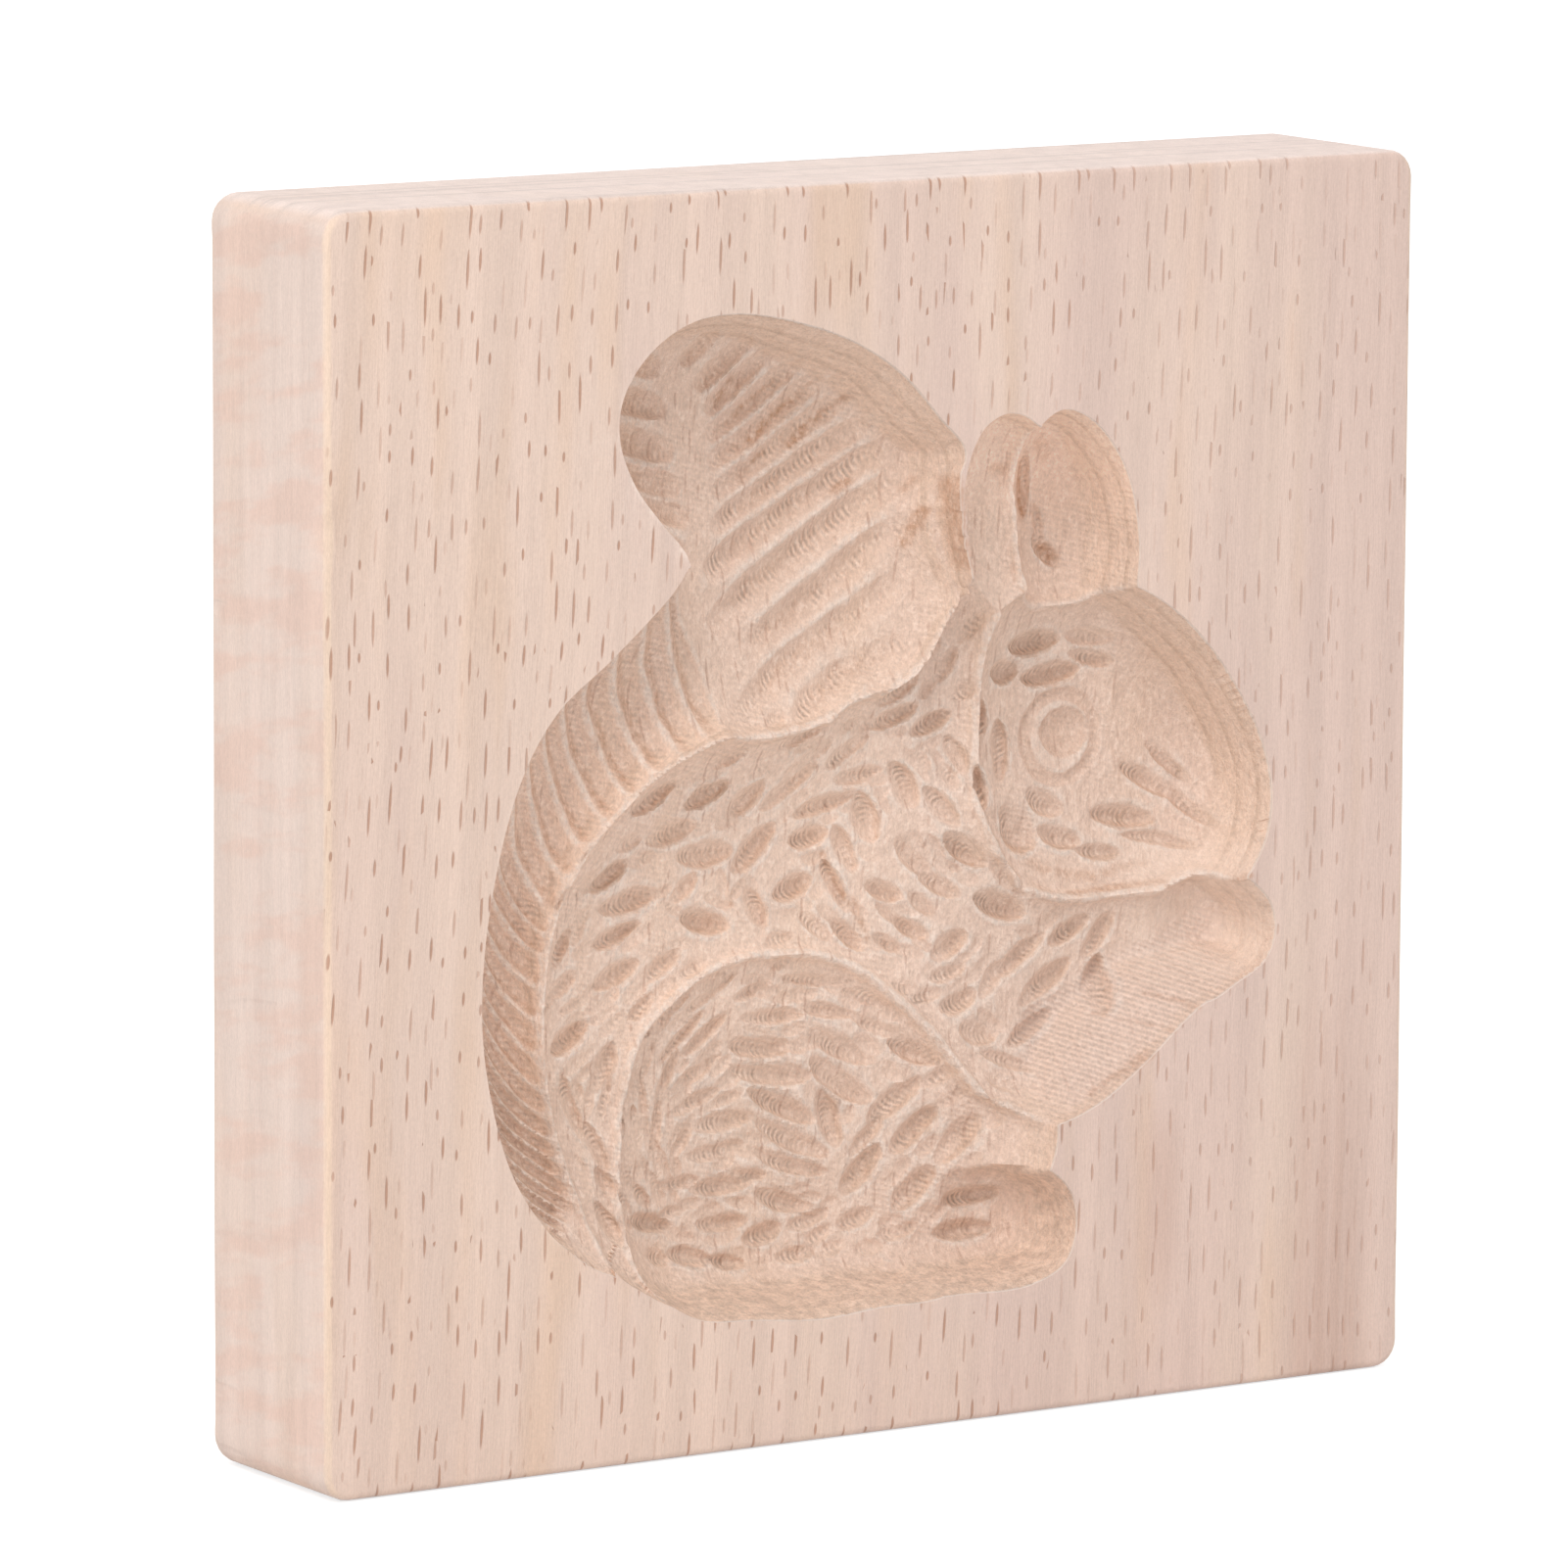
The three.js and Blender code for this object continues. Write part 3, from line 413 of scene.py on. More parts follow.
# Rows that the cutter left, in millimetres from one to the next
ROW_SPACING = 0.54
FOREARM_ROW_SPACING = 0.56
STROKE_ROW_SPACING = 0.58

# Light: the even light all round, lamps as name, place in metres, size and power, and the place
# that they point at
WORLD_STRENGTH = 0.80
LAMPS = [
    ("key", (-1.05, -1.0, 1.8), 0.9, 17.0),
    ("side", (-1.8, -0.6, 0.5), 1.0, 3.0),
]
LIT_PLACE = Vector((0, 0, 0.06))

# Floor, in metres: how far it reaches to each side, and how far below the block it lies
FLOOR_REACH = 12
FLOOR_GAP = 0.0001


def sight_matrix():
    """Rows: right, up and forward as the camera sees them."""
    yaw, pitch, roll = (math.radians(angle) for angle in (YAW, PITCH, ROLL))
    forward = Vector((math.sin(yaw) * math.cos(pitch), math.cos(yaw) * math.cos(pitch),
                      -math.sin(pitch)))
    level = Vector((math.cos(yaw), -math.sin(yaw), 0))
    up = level.cross(forward)
    right = level * math.cos(roll) + up * math.sin(roll)
    return Matrix((right, up * math.cos(roll) - level * math.sin(roll), forward))


def passing(t, low, high, first, second):
    """From the first where t is low to the second where t is high."""
    return (high - t) / (high - low) * first + (t - low) / (high - low) * second


def closed_curve(points, steps=12):
    """Centripetal Catmull-Rom curve through the points and back to the first."""
    points = np.array(points, float)
    pieces = []
    for p0, p1, p2, p3 in zip(*(np.roll(points, -shift, axis=0) for shift in (-1, 0, 1, 2))):
        t1 = np.linalg.norm(p1 - p0) ** 0.5
        t2 = t1 + np.linalg.norm(p2 - p1) ** 0.5
        t3 = t2 + np.linalg.norm(p3 - p2) ** 0.5
        t = np.linspace(t1, t2, steps, endpoint=False)[:, None]
        a1 = passing(t, 0, t1, p0, p1)
        a2 = passing(t, t1, t2, p1, p2)
        a3 = passing(t, t2, t3, p2, p3)
        b1 = passing(t, 0, t2, a1, a2)
        b2 = passing(t, t1, t3, a2, a3)
        pieces.append(passing(t, t1, t2, b1, b2))
    return np.vstack(pieces)


def open_curve(points, steps=30):
    """Catmull-Rom curve through a row of points of any dimension."""
    points = np.array(points, float)
    padded = np.vstack([points[:1], points, points[-1:]])
    pieces = []
    t = np.linspace(0, 1, steps, endpoint=False)[:, None]
    for p0, p1, p2, p3 in zip(padded, padded[1:], padded[2:], padded[3:]):
        pieces.append(0.5 * (2 * p1 + (p2 - p0) * t + (2 * p0 - 5 * p1 + 4 * p2 - p3) * t ** 2
                             + (3 * p1 - p0 - 3 * p2 + p3) * t ** 3))
    return np.vstack([*pieces, points[-1:]])


def bowl_reach(bowl, x, z):
    """Share of the way from the deepest point to the outline, 1 at the outline and beyond."""
    rim = closed_curve(bowl["outline"]) - bowl["centre"]
    angle = np.arctan2(rim[:, 1], rim[:, 0])
    order = np.argsort(angle)
    turn = np.concatenate([angle[order] - 2 * np.pi, angle[order], angle[order] + 2 * np.pi])
    radius = np.tile(np.hypot(*rim[order].T), 3)
    dx, dz = x - bowl["centre"][0], z - bowl["centre"][1]
    return np.minimum(np.hypot(dx, dz) / np.interp(np.arctan2(dz, dx), turn, radius), 1)


def bowl_depth(bowl, x, z):
    reach = bowl_reach(bowl, x, z)
    fullness = bowl["fullness"]
    if "open_side" in bowl:
        dx, dz = x - bowl["centre"][0], z - bowl["centre"][1]
        turn = np.arctan2(dz, dx) - math.radians(bowl["open_side"])
        fullness = fullness + (bowl["open_fullness"] - fullness) * np.maximum(np.cos(turn), 0) ** 2
    return bowl["depth"] * (1 - reach ** fullness) ** (1 / bowl.get("steepness", STEEPNESS))


brush_line = open_curve([(*rim, *inner, share) for rim, inner, share in BRUSH])


def brush_place(x, z):
    """Place in the channel of the lower tail: along it, across it from the rim, and its share of
    the depth. Points beside the channel get across below 0 or above 1."""
    rim, inner, share = brush_line[:, 0:2], brush_line[:, 2:4], brush_line[:, 4]
    chord = inner - rim
    line = np.column_stack([rim, chord, share])
    points = np.stack([x.ravel(), z.ravel()], 1)
    places = np.full((3, len(points)), -1.0)
    side = (chord[:, 0] * (points[:, 1:] - rim[:, 1]) - chord[:, 1] * (points[:, :1] - rim[:, 0]))
    crossing = (side[:, :-1] > 0) != (side[:, 1:] > 0)
    for step in np.nonzero(crossing.any(0))[0]:
        hit = np.nonzero(crossing[:, step])[0]
        t = side[hit, step] / (side[hit, step] - side[hit, step + 1])
        here = line[step] + (line[step + 1] - line[step]) * t[:, None]
        start, reach = here[:, 0:2], here[:, 2:4]
        across = ((points[hit] - start) * reach).sum(1) / (reach ** 2).sum(1)
        inside = (across > 0) & (across < 1)
        found = np.stack([(step + t) / (len(rim) - 1), across, here[:, 4]])
        places[:, hit[inside]] = found[:, inside]
    return places.reshape(3, *x.shape)


def unit(values):
    """The values held between 0 and 1."""
    return np.clip(values, 0, 1)


def smooth_top(a, b, width):
    """The greater of two depths, with the join between them rounded off."""
    near = unit(1 - np.abs(a - b) / width)
    return np.maximum(a, b) + near ** 2 * width / 4 * unit(np.minimum(a, b) / BLEND_FADE)


def seeded_noise(shape, cells, seed):
    """Smooth noise of the grid's shape mostly from -1 to 1, one lump per cell."""
    rng = np.random.default_rng(seed)
    coarse = rng.standard_normal([int(n / c) + 4 for n, c in zip(shape, cells)])
    rows = np.arange(shape[0]) / cells[0]
    columns = np.arange(shape[1]) / cells[1]
    r, c = rows.astype(int), columns.astype(int)
    fr = (rows - r)[:, None]
    fc = (columns - c)[None, :]
    fr = fr * fr * (3 - 2 * fr)
    fc = fc * fc * (3 - 2 * fc)
    top = coarse[r][:, c] * (1 - fc) + coarse[r][:, c + 1] * fc
    bottom = coarse[r + 1][:, c] * (1 - fc) + coarse[r + 1][:, c + 1] * fc
    return (top * (1 - fr) + bottom * fr) * 0.6


def leaning(across, lean, first_power, second_power):
    """Profile of a cut from -1 to 1 across it: 0 at its edges and 1 at its deepest line, which
    leans to the second side. A greater power makes that side hollow, a smaller one full."""
    first = np.sin(unit((1 + across) / (1 + lean)) * np.pi / 2) ** first_power
    second = np.sin(unit((1 - across) / (1 - lean)) * np.pi / 2) ** second_power
    return np.minimum(first, second)


def groove(x, z, start, end, width, lean):
    """Share of a tapering groove's depth, deepest at its middle or leaning to one side."""
    start, end = np.array(start), np.array(end)
    length = np.linalg.norm(end - start)
    ahead = (end - start) / length
    dx, dz = x - start[0], z - start[1]
    along = (dx * ahead[0] + dz * ahead[1]) / length
    swell = unit(1 - np.abs(2 * along - 1) ** 3)
    side = (dx * ahead[1] - dz * ahead[0]) / (width / 2) / (0.6 + 0.4 * swell)
    return leaning(side, lean, 0.9, 0.9 if lean > 0.25 else 1.6) * swell ** 0.6


def scoop(x, z, length, width, angle):
    """Share of a leaf-shaped scoop's depth, deepest near its lower right edge, how near each point
    is to that edge and to the lip beyond it, and the place along the cutter's path in arcs."""
    turn = math.radians(angle)
    ahead = x * math.cos(turn) + z * math.sin(turn)
    aside = x * math.sin(turn) - z * math.cos(turn)
    along = ahead / (length / 2)
    taper = unit(1 - along ** 2) ** 0.6
    across = aside / (width / 2) / np.maximum(taper, 0.001)
    if math.sin(turn) + math.cos(turn) < 0:
        across = -across
    share = leaning(across, SCOOP_LEAN, 1.5, 0.8)
    edge = unit(1 - np.abs(across - 0.8) / 0.22) * (taper > 0.2)
    lip = unit(1 - np.abs(across - 1.15) / 0.25) * taper
    return share * taper * (1 + 0.2 * along), edge, lip, ahead - 0.35 * aside ** 2


def raise_to(field, values):
    """Raises a part of the grid to these values where it is lower."""
    np.maximum(field, values, out=field)


class Relief:
    """The depth of the hollow on a grid over the carved face, with its fine cuts."""

    def __init__(self):
        outlines = [closed_curve(bowl["outline"]) for bowl in BOWLS.values()]
        points = np.vstack([*outlines, brush_line[:, 0:2]])
        self.low = points.min(0) - 4 * STEP
        columns, rows = (np.ptp(points, axis=0) / STEP + 9).astype(int)
        self.x, self.z = np.meshgrid(
            self.low[0] + STEP * np.arange(columns), self.low[1] + STEP * np.arange(rows))
        self.parts = {name: bowl_depth(bowl, self.x, self.z) for name, bowl in BOWLS.items()}
        self.along, self.across, share = brush_place(self.x, self.z)
        arch = unit(1 - np.abs(2 * self.across - 1) ** 2) ** (1 / BRUSH_STEEPNESS)
        self.parts["brush"] = np.where(self.across > 0, BRUSH_DEPTH * share * arch, 0)
        self.floor = np.maximum.reduce(list(self.parts.values()))
        for first, second, width in BLENDS:
            raise_to(self.floor, smooth_top(self.parts[first], self.parts[second], width))
        # Besides the depth: ridges, cuts, reddish stains together with painted shade, and lips
        self.ridge, self.cut, self.stain, self.lip = np.zeros((4, *self.floor.shape))
        for first, second, height in RIDGES:
            raise_to(self.ridge, self.ridge_between(first, second) * height)
        self.rim = rim_tree()
        self.shape_walls()
        self.stroke = self.z + PLAIN_STROKE_SLANT * self.x

    def ridge_between(self, first, second):
        """1 along the line where these two hollows meet, if no third one is deeper there."""
        a, b = self.parts[first], self.parts[second]
        others = [part for name, part in self.parts.items() if name not in (first, second)]
        slope = np.hypot(*np.gradient(a - b, STEP))
        gap = np.abs(a - b) / np.maximum(slope, 0.15)
        on_top = unit((np.minimum(a, b) - np.maximum.reduce(others)) / 0.6 + 0.6)
        return np.exp(-(gap / RIDGE_WIDTH) ** 2) * on_top * unit(np.minimum(a, b) / 4)

    def shape_walls(self):
        """Holds the depth to the slope of the wall near the rim."""
        inside = self.floor > 0
        xs, zs = self.x[inside], self.z[inside]
        reach = np.array([self.rim.find((x, z, 0))[2] for x, z in zip(xs, zs)])
        slopes, drops, weights = np.zeros((3, len(reach)))
        for x, z, slope, drop in WALLS:
            weight = 1 / (np.hypot(xs - x, zs - z) + 1) ** 4
            slopes += slope * weight
            drops += drop * weight
            weights += weight
        wall = drops / weights * np.minimum(reach / DROP_LEAN, 1) + reach * slopes / weights
        floor = self.floor[inside]
        near = unit(1 - np.abs(floor - wall) / FOOT_ROUNDING)
        self.floor[inside] = np.minimum(floor, wall) - near ** 2 * FOOT_ROUNDING / 4

    def owned_by(self, *names):
        """1 where one of these hollows is the deepest, fading to 0 over its edge."""
        own = np.maximum.reduce([self.parts[name] for name in names])
        rest = np.maximum.reduce([part for name, part in self.parts.items() if name not in names])
        return unit((own - rest) / 0.8 + 0.2)

    def around(self, place, reach):
        """The part of the grid within this reach of a point, and its x and z from there."""
        first = np.maximum((np.array(place) - reach - self.low) / STEP, 0).astype(int)
        last = ((np.array(place) + reach - self.low) / STEP).astype(int) + 2
        part = np.s_[first[1]:last[1], first[0]:last[0]]
        return part, self.x[part] - place[0], self.z[part] - place[1]

    def cell_at(self, place):
        column, row = np.round((place - self.low) / STEP).astype(int)
        return row, column

    def below_sight(self, x, z):
        """The point of the hollow that the camera sees through this point of the face."""
        forward = sight_matrix()[2]
        sight = np.array((forward.x, forward.z)) / forward.y
        for deep in np.arange(0, 12, STEP / 4):
            place = np.array((x, z - SOLE)) + sight * deep
            if self.floor[self.cell_at(place)] <= deep:
                break
        return place

    def carve_tail(self):
        fan = self.owned_by("tail_fan", "brush")
        for start, end, width, lean in TAIL_GROOVES:
            length = math.dist(start, end)
            part, x, z = self.around((np.array(start) + end) / 2, length / 2 + width)
            share = groove(self.x[part], self.z[part], start, end, width, lean) * fan[part]
            deep = GROOVE_DEPTH * width * min((start[1] - LOW_GROOVE) / LOW_GROOVE_RANGE, 1)
            ahead = (np.array(end) - start) / length
            path = x * ahead[0] + z * ahead[1] - 0.2 * (x * ahead[1] - z * ahead[0]) ** 2
            path += TAIL_STROKE if start[1] > PLAIN_GROOVES else -TAIL_STROKE
            here = share * deep > np.maximum(self.cut[part], SLIGHT_CUT)
            self.stroke[part] = np.where(here, path, self.stroke[part])
            raise_to(self.cut[part], share * deep)
            # Reddish stain and painted shade along the groove's deepest line, fading from the spine
            away = np.hypot(self.x[part] - start[0], self.z[part] - start[1])
            near_spine = 1 if start[0] < -20 else unit(1.3 - away / length)
            raise_to(self.stain[part], share ** 2 * GROOVE_STAIN_AND_SHADE * near_spine)

        # The slant of the lower tail's grooves depends on where they start on the rim, so that
        # place is found step by step
        on_rim = self.along
        for _ in range(12):
            steeper = STEEPER_SLANT * unit((STEEPER_BELOW - on_rim) / STEEPER_RANGE)
            on_rim = self.along + (BRUSH_GROOVE_SLANT + steeper) * self.across
        phase = np.interp(on_rim, *zip(*BRUSH_GROOVES))
        wave = phase - np.floor(phase)
        rise = np.minimum(wave / BRUSH_GROOVE_BOTTOM, (1 - wave) / (1 - BRUSH_GROOVE_BOTTOM))
        saw = np.sin(unit(rise) * np.pi / 2) ** 1.2
        ends = unit((BRUSH_GROOVE_REACH - self.across) / 0.12)
        ends *= unit(self.across * 14)
        ends *= unit((BRUSH_GROOVED[1] - self.along) / 0.04) * self.owned_by("brush")
        ends *= unit((self.along - BRUSH_GROOVED[0]) / 0.03)
        raise_to(self.cut, saw * BRUSH_GROOVE_DEPTH * ends)
        # Painted shade on the shaded side of each groove
        shaded = unit(1.4 - 1.4 * np.abs(wave - BRUSH_SHADE) / BRUSH_SHADE)
        raise_to(self.stain, shaded * ends * BRUSH_GROOVE_PAINTED_SHADE)

    def carve_fur(self):
        rng = np.random.default_rng(4)
        for x, z, length, width, angle in SPARSE_SCOOPS + FUR_SCOOPS:
            broad = width * SCOOP_BREADTH
            deep = rng.uniform(*SCOOP_DEPTHS) * min(broad / FULL_DEPTH_WIDTH, 1.2)
            self.press_scoop(self.below_sight(x, z), length * SCOOP_LENGTH, broad, angle, deep)

        # Slight ones fill the fur between them and lie the same way
        for nearest in rng.integers(len(FUR_SCOOPS), size=FILLING_SCOOPS):
            x, z, _, _, angle = FUR_SCOOPS[nearest]
            place = self.below_sight(x, z) + rng.uniform(-FILLING_REACH, FILLING_REACH, 2)
            length, width, deep = rng.uniform(*FILLING_SIZES)
            cell = self.cell_at(place)
            if self.cut[cell] < SLIGHT_CUT and self.floor[cell] > FILLING_FLOOR:
                angle += rng.uniform(-FILLING_TURN, FILLING_TURN)
                self.press_scoop(place, length, width, angle, deep)

    def press_scoop(self, place, length, width, angle, depth):
        part, x, z = self.around(place, length / 2)
        share, edge, lip, stroke = scoop(x, z, length, width, angle)
        deeper = share * depth > self.cut[part]
        self.stroke[part] = np.where(deeper, stroke, self.stroke[part])
        raise_to(self.cut[part], share * depth)
        # A reddish line along the deep edge, and the fill darker: brown cut wood and painted shade
        raise_to(self.stain[part], np.maximum(edge * 0.4, share * 0.1) * depth)
        raise_to(self.lip[part], lip * depth)

    def carve_eye(self):
        place = self.below_sight(*EYE_PLACE)
        part, x, z = self.around(place, EYE_RING_RADIUS + EYE_RING_WIDTH)
        away = (np.hypot(x, z) - EYE_RING_RADIUS) / (EYE_RING_WIDTH / 2)
        ring = unit(1 - away ** 2) * EYE_RING_DEPTH
        across = (x - PUPIL_SHIFT[0]) / (PUPIL_WIDTH / 2)
        up = (z - PUPIL_SHIFT[1]) / (PUPIL_HEIGHT / 2)
        pupil = unit(1 - across ** 2 - up ** 2) ** 0.5
        raise_to(self.cut[part], np.maximum(ring, pupil * PUPIL_DEPTH))
        # Painted shade in the ring groove and in the pupil
        raise_to(self.stain[part], ring / EYE_RING_DEPTH * RING_PAINTED_SHADE)
        raise_to(self.stain[part], unit(pupil * 3) * PUPIL_PAINTED_SHADE)

    def mark_fibres(self):
        for x0, z0, x1, z1, width, strength in MARKS:
            start, end = self.below_sight(x0, z0), self.below_sight(x1, z1)
            ahead = end - start
            part = self.around((start + end) / 2, np.linalg.norm(ahead) / 2 + width)[0]
            x, z = self.x[part] - start[0], self.z[part] - start[1]
            along = unit((x * ahead[0] + z * ahead[1]) / (ahead @ ahead))
            away = np.hypot(x - along * ahead[0], z - along * ahead[1]) / (width / 2)
            raise_to(self.stain[part], unit(1.3 - away) * strength)

    def detail(self):
        """The cuts, the ridges and the unevenness of the tool, as depth below the plain floor."""
        rough = sum(seeded_noise(self.floor.shape, lumps, seed) * height
                    for lumps, seed, height in UNEVENNESS)
        lip = SCOOP_LIP * self.lip * unit(1 - self.cut * 4)
        return (self.cut + rough - self.ridge - lip) * unit(self.floor / 2)

    def finished(self):
        """The depth with all detail, 0 outside the hollow."""
        return np.where(self.floor > 0, np.maximum(self.floor + self.detail(), LEAST_DEPTH), 0)


def rim_tree():
    """The rim of the whole hollow: points of the outlines that no other hollow covers."""
    curves = {name: closed_curve(bowl["outline"], 60) for name, bowl in BOWLS.items()}
    curves["brush"] = brush_line[:, 0:2]
    free = []
    for name, curve in curves.items():
        keep = np.ones(len(curve), bool)
        for other, bowl in BOWLS.items():
            if other != name:
                keep &= bowl_reach(bowl, *curve.T) > 0.9995
        if name != "brush":
            keep &= brush_place(*curve.T)[1] <= 0.001
        following = np.roll(curve, -1, axis=0)
        whole = keep & np.roll(keep, -1) & (np.linalg.norm(following - curve, axis=1) < 3)
        for share in np.arange(0, 1, 0.1):
            free.append((curve + (following - curve) * share)[whole])
    free = np.vstack(free)
    tree = kdtree.KDTree(len(free))
    for i, (x, z) in enumerate(free):
        tree.insert((x, z, 0), i)
    tree.balance()
    return tree


def spread(mask, steps, grow):
    """The mask grown, or shrunk, by this many grid steps."""
    join = np.logical_or if grow else np.logical_and
    for _ in range(steps):
        for axis in (0, 1):
            mask = join(mask, join(np.roll(mask, 1, axis), np.roll(mask, -1, axis)))
    return mask


def below_surroundings(depth):
    """How far each point lies below (positive) or above (negative) the surface round it."""
    level = depth
    for _ in range(LEVEL_ROUNDS):
        edge = np.pad(level, 1, mode="edge")
        beside = edge[:-2, 1:-1] + edge[2:, 1:-1] + edge[1:-1, :-2] + edge[1:-1, 2:]
        level = (beside + 2 * level) / 6
    return depth - level


def carved_grid(relief):
    """Points, values, triangles and border of the carved surface and a narrow band of the flat."""
    depth = relief.finished()
    inside = depth > 0
    x, z = relief.x.copy(), relief.z.copy()
    on_rim = np.zeros(depth.shape, bool)
    for spot in zip(*np.nonzero(spread(inside, 2, True) & ~spread(inside, 2, False))):
        found, _, distance = relief.rim.find((x[spot], z[spot], 0))
        if distance <= STEP / 2:
            x[spot], z[spot] = found[0], found[1]
            depth[spot] = 0
            on_rim[spot] = True
    touched = (depth > 0) | on_rim
    corners = (np.s_[:-1, :-1], np.s_[:-1, 1:], np.s_[1:, 1:], np.s_[1:, :-1])
    cell = np.logical_or.reduce([touched[corner] for corner in corners])
    used = np.zeros(depth.shape, bool)
    for corner in corners:
        used[corner] |= cell
    number = np.full(depth.shape, -1)
    number[used] = np.arange(used.sum())
    within = spread(touched, 1, False)
    for places, (lumps, seed) in zip((x, z), WANDER_LUMPS):
        places += within * HAND_WANDER * seeded_noise(depth.shape, lumps, seed)
    points = np.stack([x[used], FACE_Y + depth[used], z[used] + SOLE], 1)

    a, b, c, d = (number[corner][cell] for corner in corners)
    flatter = np.abs(points[a, 1] - points[c, 1]) <= np.abs(points[b, 1] - points[d, 1])
    triangles = np.vstack([
        np.stack([a, b, c], 1)[flatter], np.stack([a, c, d], 1)[flatter],
        np.stack([a, b, d], 1)[~flatter], np.stack([b, c, d], 1)[~flatter],
    ])
    border = []
    padded = np.pad(cell, 1)
    for shift, axis, ends in ((1, 0, (a, b)), (-1, 0, (c, d)), (1, 1, (d, a)), (-1, 1, (b, c))):
        open_side = ~np.roll(padded, shift, axis)[1:-1, 1:-1][cell]
        border += np.stack(ends, 1)[open_side].tolist()
    # The stain values carry reddish fibre marks together with painted shade
    values = {"hollow": touched, "below": below_surroundings(relief.detail()),
              "stain": relief.stain, "stroke": relief.stroke}
    values = {name: field[used].astype(float) for name, field in values.items()}
    return points, values, triangles, border, cell


def stations():
    """Places round the block's outline, closer together beside the chip: the corner that each
    belongs to, the next corner, the share of the way between them, and the angle."""
    corners = [(1, 1), (-1, 1), (-1, -1), (1, -1)]
    places = []
    for quarter, corner in enumerate(corners):
        for step in range(ROUNDING_STEPS + 1):
            places.append((corner, corner, 0, (quarter + step / ROUNDING_STEPS) * math.pi / 2))
        following = corners[(quarter + 1) % 4]
        count = LEFT_STEPS if corner[0] == following[0] == -1 else SIDE_STEPS
        for step in range(1, count):
            places.append((corner, following, step / count, (quarter + 1) * math.pi / 2))
    return places


def outline_ring(places, inset, y):
    """One closed ring round the block at this distance from its front, set in from its sides."""
    radius = max(CORNER_RADIUS - inset, CORNER_RADIUS / 4)
    reach = (block_high[[0, 2]] - block_low[[0, 2]]) / 2 - inset - radius
    middle = (block_high[[0, 2]] + block_low[[0, 2]]) / 2
    ring = []
    for corner, following, share, angle in places:
        centre = np.array(corner) * (1 - share) + np.array(following) * share
        x, z = middle + centre * reach + radius * np.array((math.cos(angle), math.sin(angle)))
        ring.append(worn(x, y, z))
    return ring


def worn(x, y, z):
    """A point of the outside moved a little inwards by wear, and more at the chip."""
    wear = WEAR * (4 + math.sin(z * 0.21) + math.sin(z * 0.083 + 2) + 2 * math.sin(z * 0.031 + 4))
    if abs(x) > 50 and WORN_HEIGHTS[0] < z < WORN_HEIGHTS[1]:
        x -= math.copysign(wear, x)
    if x < -50 and abs(z - CHIP_HEIGHT) < CHIP_LENGTH:
        ragged = 0.2 * math.sin(z * 7.3) + 0.25 * math.sin(z * 3.1)
        bite = max(0, 1 - ((z - CHIP_HEIGHT) / (CHIP_LENGTH / 2)) ** 2 + ragged)
        near = math.exp(-((y - FACE_Y) / CHIP_REACH) ** 2)
        x += CHIP_DEPTH * bite * near
        y += CHIP_DEPTH * 0.6 * bite * near * max(0, 1 + (x + 58) / 3)
    return x, y, z


def rounded(radius):
    """How far an arris is set in at each step, and how far from the face."""
    turns = [step / ROUNDING_STEPS * math.pi / 2 for step in range(ROUNDING_STEPS + 1)]
    return [(radius * (1 - math.sin(turn)), radius * (1 - math.cos(turn))) for turn in turns]


def outside_rings(places):
    """Rings from the front arris over the sides to the back."""
    thickness = block_high[1] - block_low[1]
    side = thickness - FRONT_ARRIS - BACK_ARRIS
    profile = rounded(FRONT_ARRIS)
    for step in range(1, THICKNESS_STEPS):
        profile.append((0, FRONT_ARRIS + side * step / THICKNESS_STEPS))
    profile += [(inset, thickness - depth) for inset, depth in reversed(rounded(BACK_ARRIS))]
    return [outline_ring(places, inset, FACE_Y + y) for inset, y in profile]


def flat_faces(points, ring, border, relief, cell):
    """Triangles of the flat wood between the front arris and the carved grid."""
    corners = sorted({end for edge in border for end in edge})
    number = {corner: i + len(ring) for i, corner in enumerate(corners)}
    edges = [(i, (i + 1) % len(ring)) for i in range(len(ring))]
    edges += [(number[start], number[end]) for start, end in border]
    owners = list(ring) + corners
    flat = [Vector((points[owner][0], points[owner][2])) for owner in owners]
    # Type 1 keeps the triangles inside the ring, those over the carved grid among them
    places, _, triangles, sources, _, _ = geometry.delaunay_2d_cdt(flat, edges, [], 1, SAME_POINT)
    faces = []
    for triangle in triangles:
        centre = sum((places[i] for i in triangle), Vector((0, 0))) / 3
        column = int((centre.x - relief.low[0]) // STEP)
        row = int((centre.y - SOLE - relief.low[1]) // STEP)
        within = 0 <= row < cell.shape[0] and 0 <= column < cell.shape[1]
        if not (within and cell[row, column]):
            faces.append([owners[sources[i][0]] for i in triangle])
    return faces


def carved_block():
    """The whole block as one closed mesh."""
    relief = Relief()
    relief.carve_tail()
    relief.carve_fur()
    relief.carve_eye()
    relief.mark_fibres()
    points, values, triangles, border, cell = carved_grid(relief)
    places = stations()
    rings = outside_rings(places)
    count = len(places)
    first = len(points)
    last = first + (len(rings) - 1) * count
    everything = np.vstack([points, *rings])
    faces = triangles.tolist()
    for near in range(first, last, count):
        for i in range(count):
            j = (i + 1) % count
            faces.append((near + i, near + count + i, near + count + j, near + j))
    faces.append(tuple(range(last + count - 1, last - 1, -1)))
    faces += flat_faces(everything, range(first, first + count), border, relief, cell)

    mesh = bpy.data.meshes.new("mould_block_carved")
    mesh.from_pydata((everything * MM).tolist(), [], faces)
    for name, numbers in values.items():
        attribute = mesh.attributes.new(name, "FLOAT", "POINT")
        padded = np.pad(numbers, (0, len(everything) - first))
        attribute.data.foreach_set("value", padded)
    mesh.polygons.foreach_set("use_smooth", np.ones(len(mesh.polygons), bool))
    mesh.set_sharp_from_angle(angle=math.radians(SHARP_ANGLE))
    mesh.update()
    return linked("mould_block_carved", mesh)


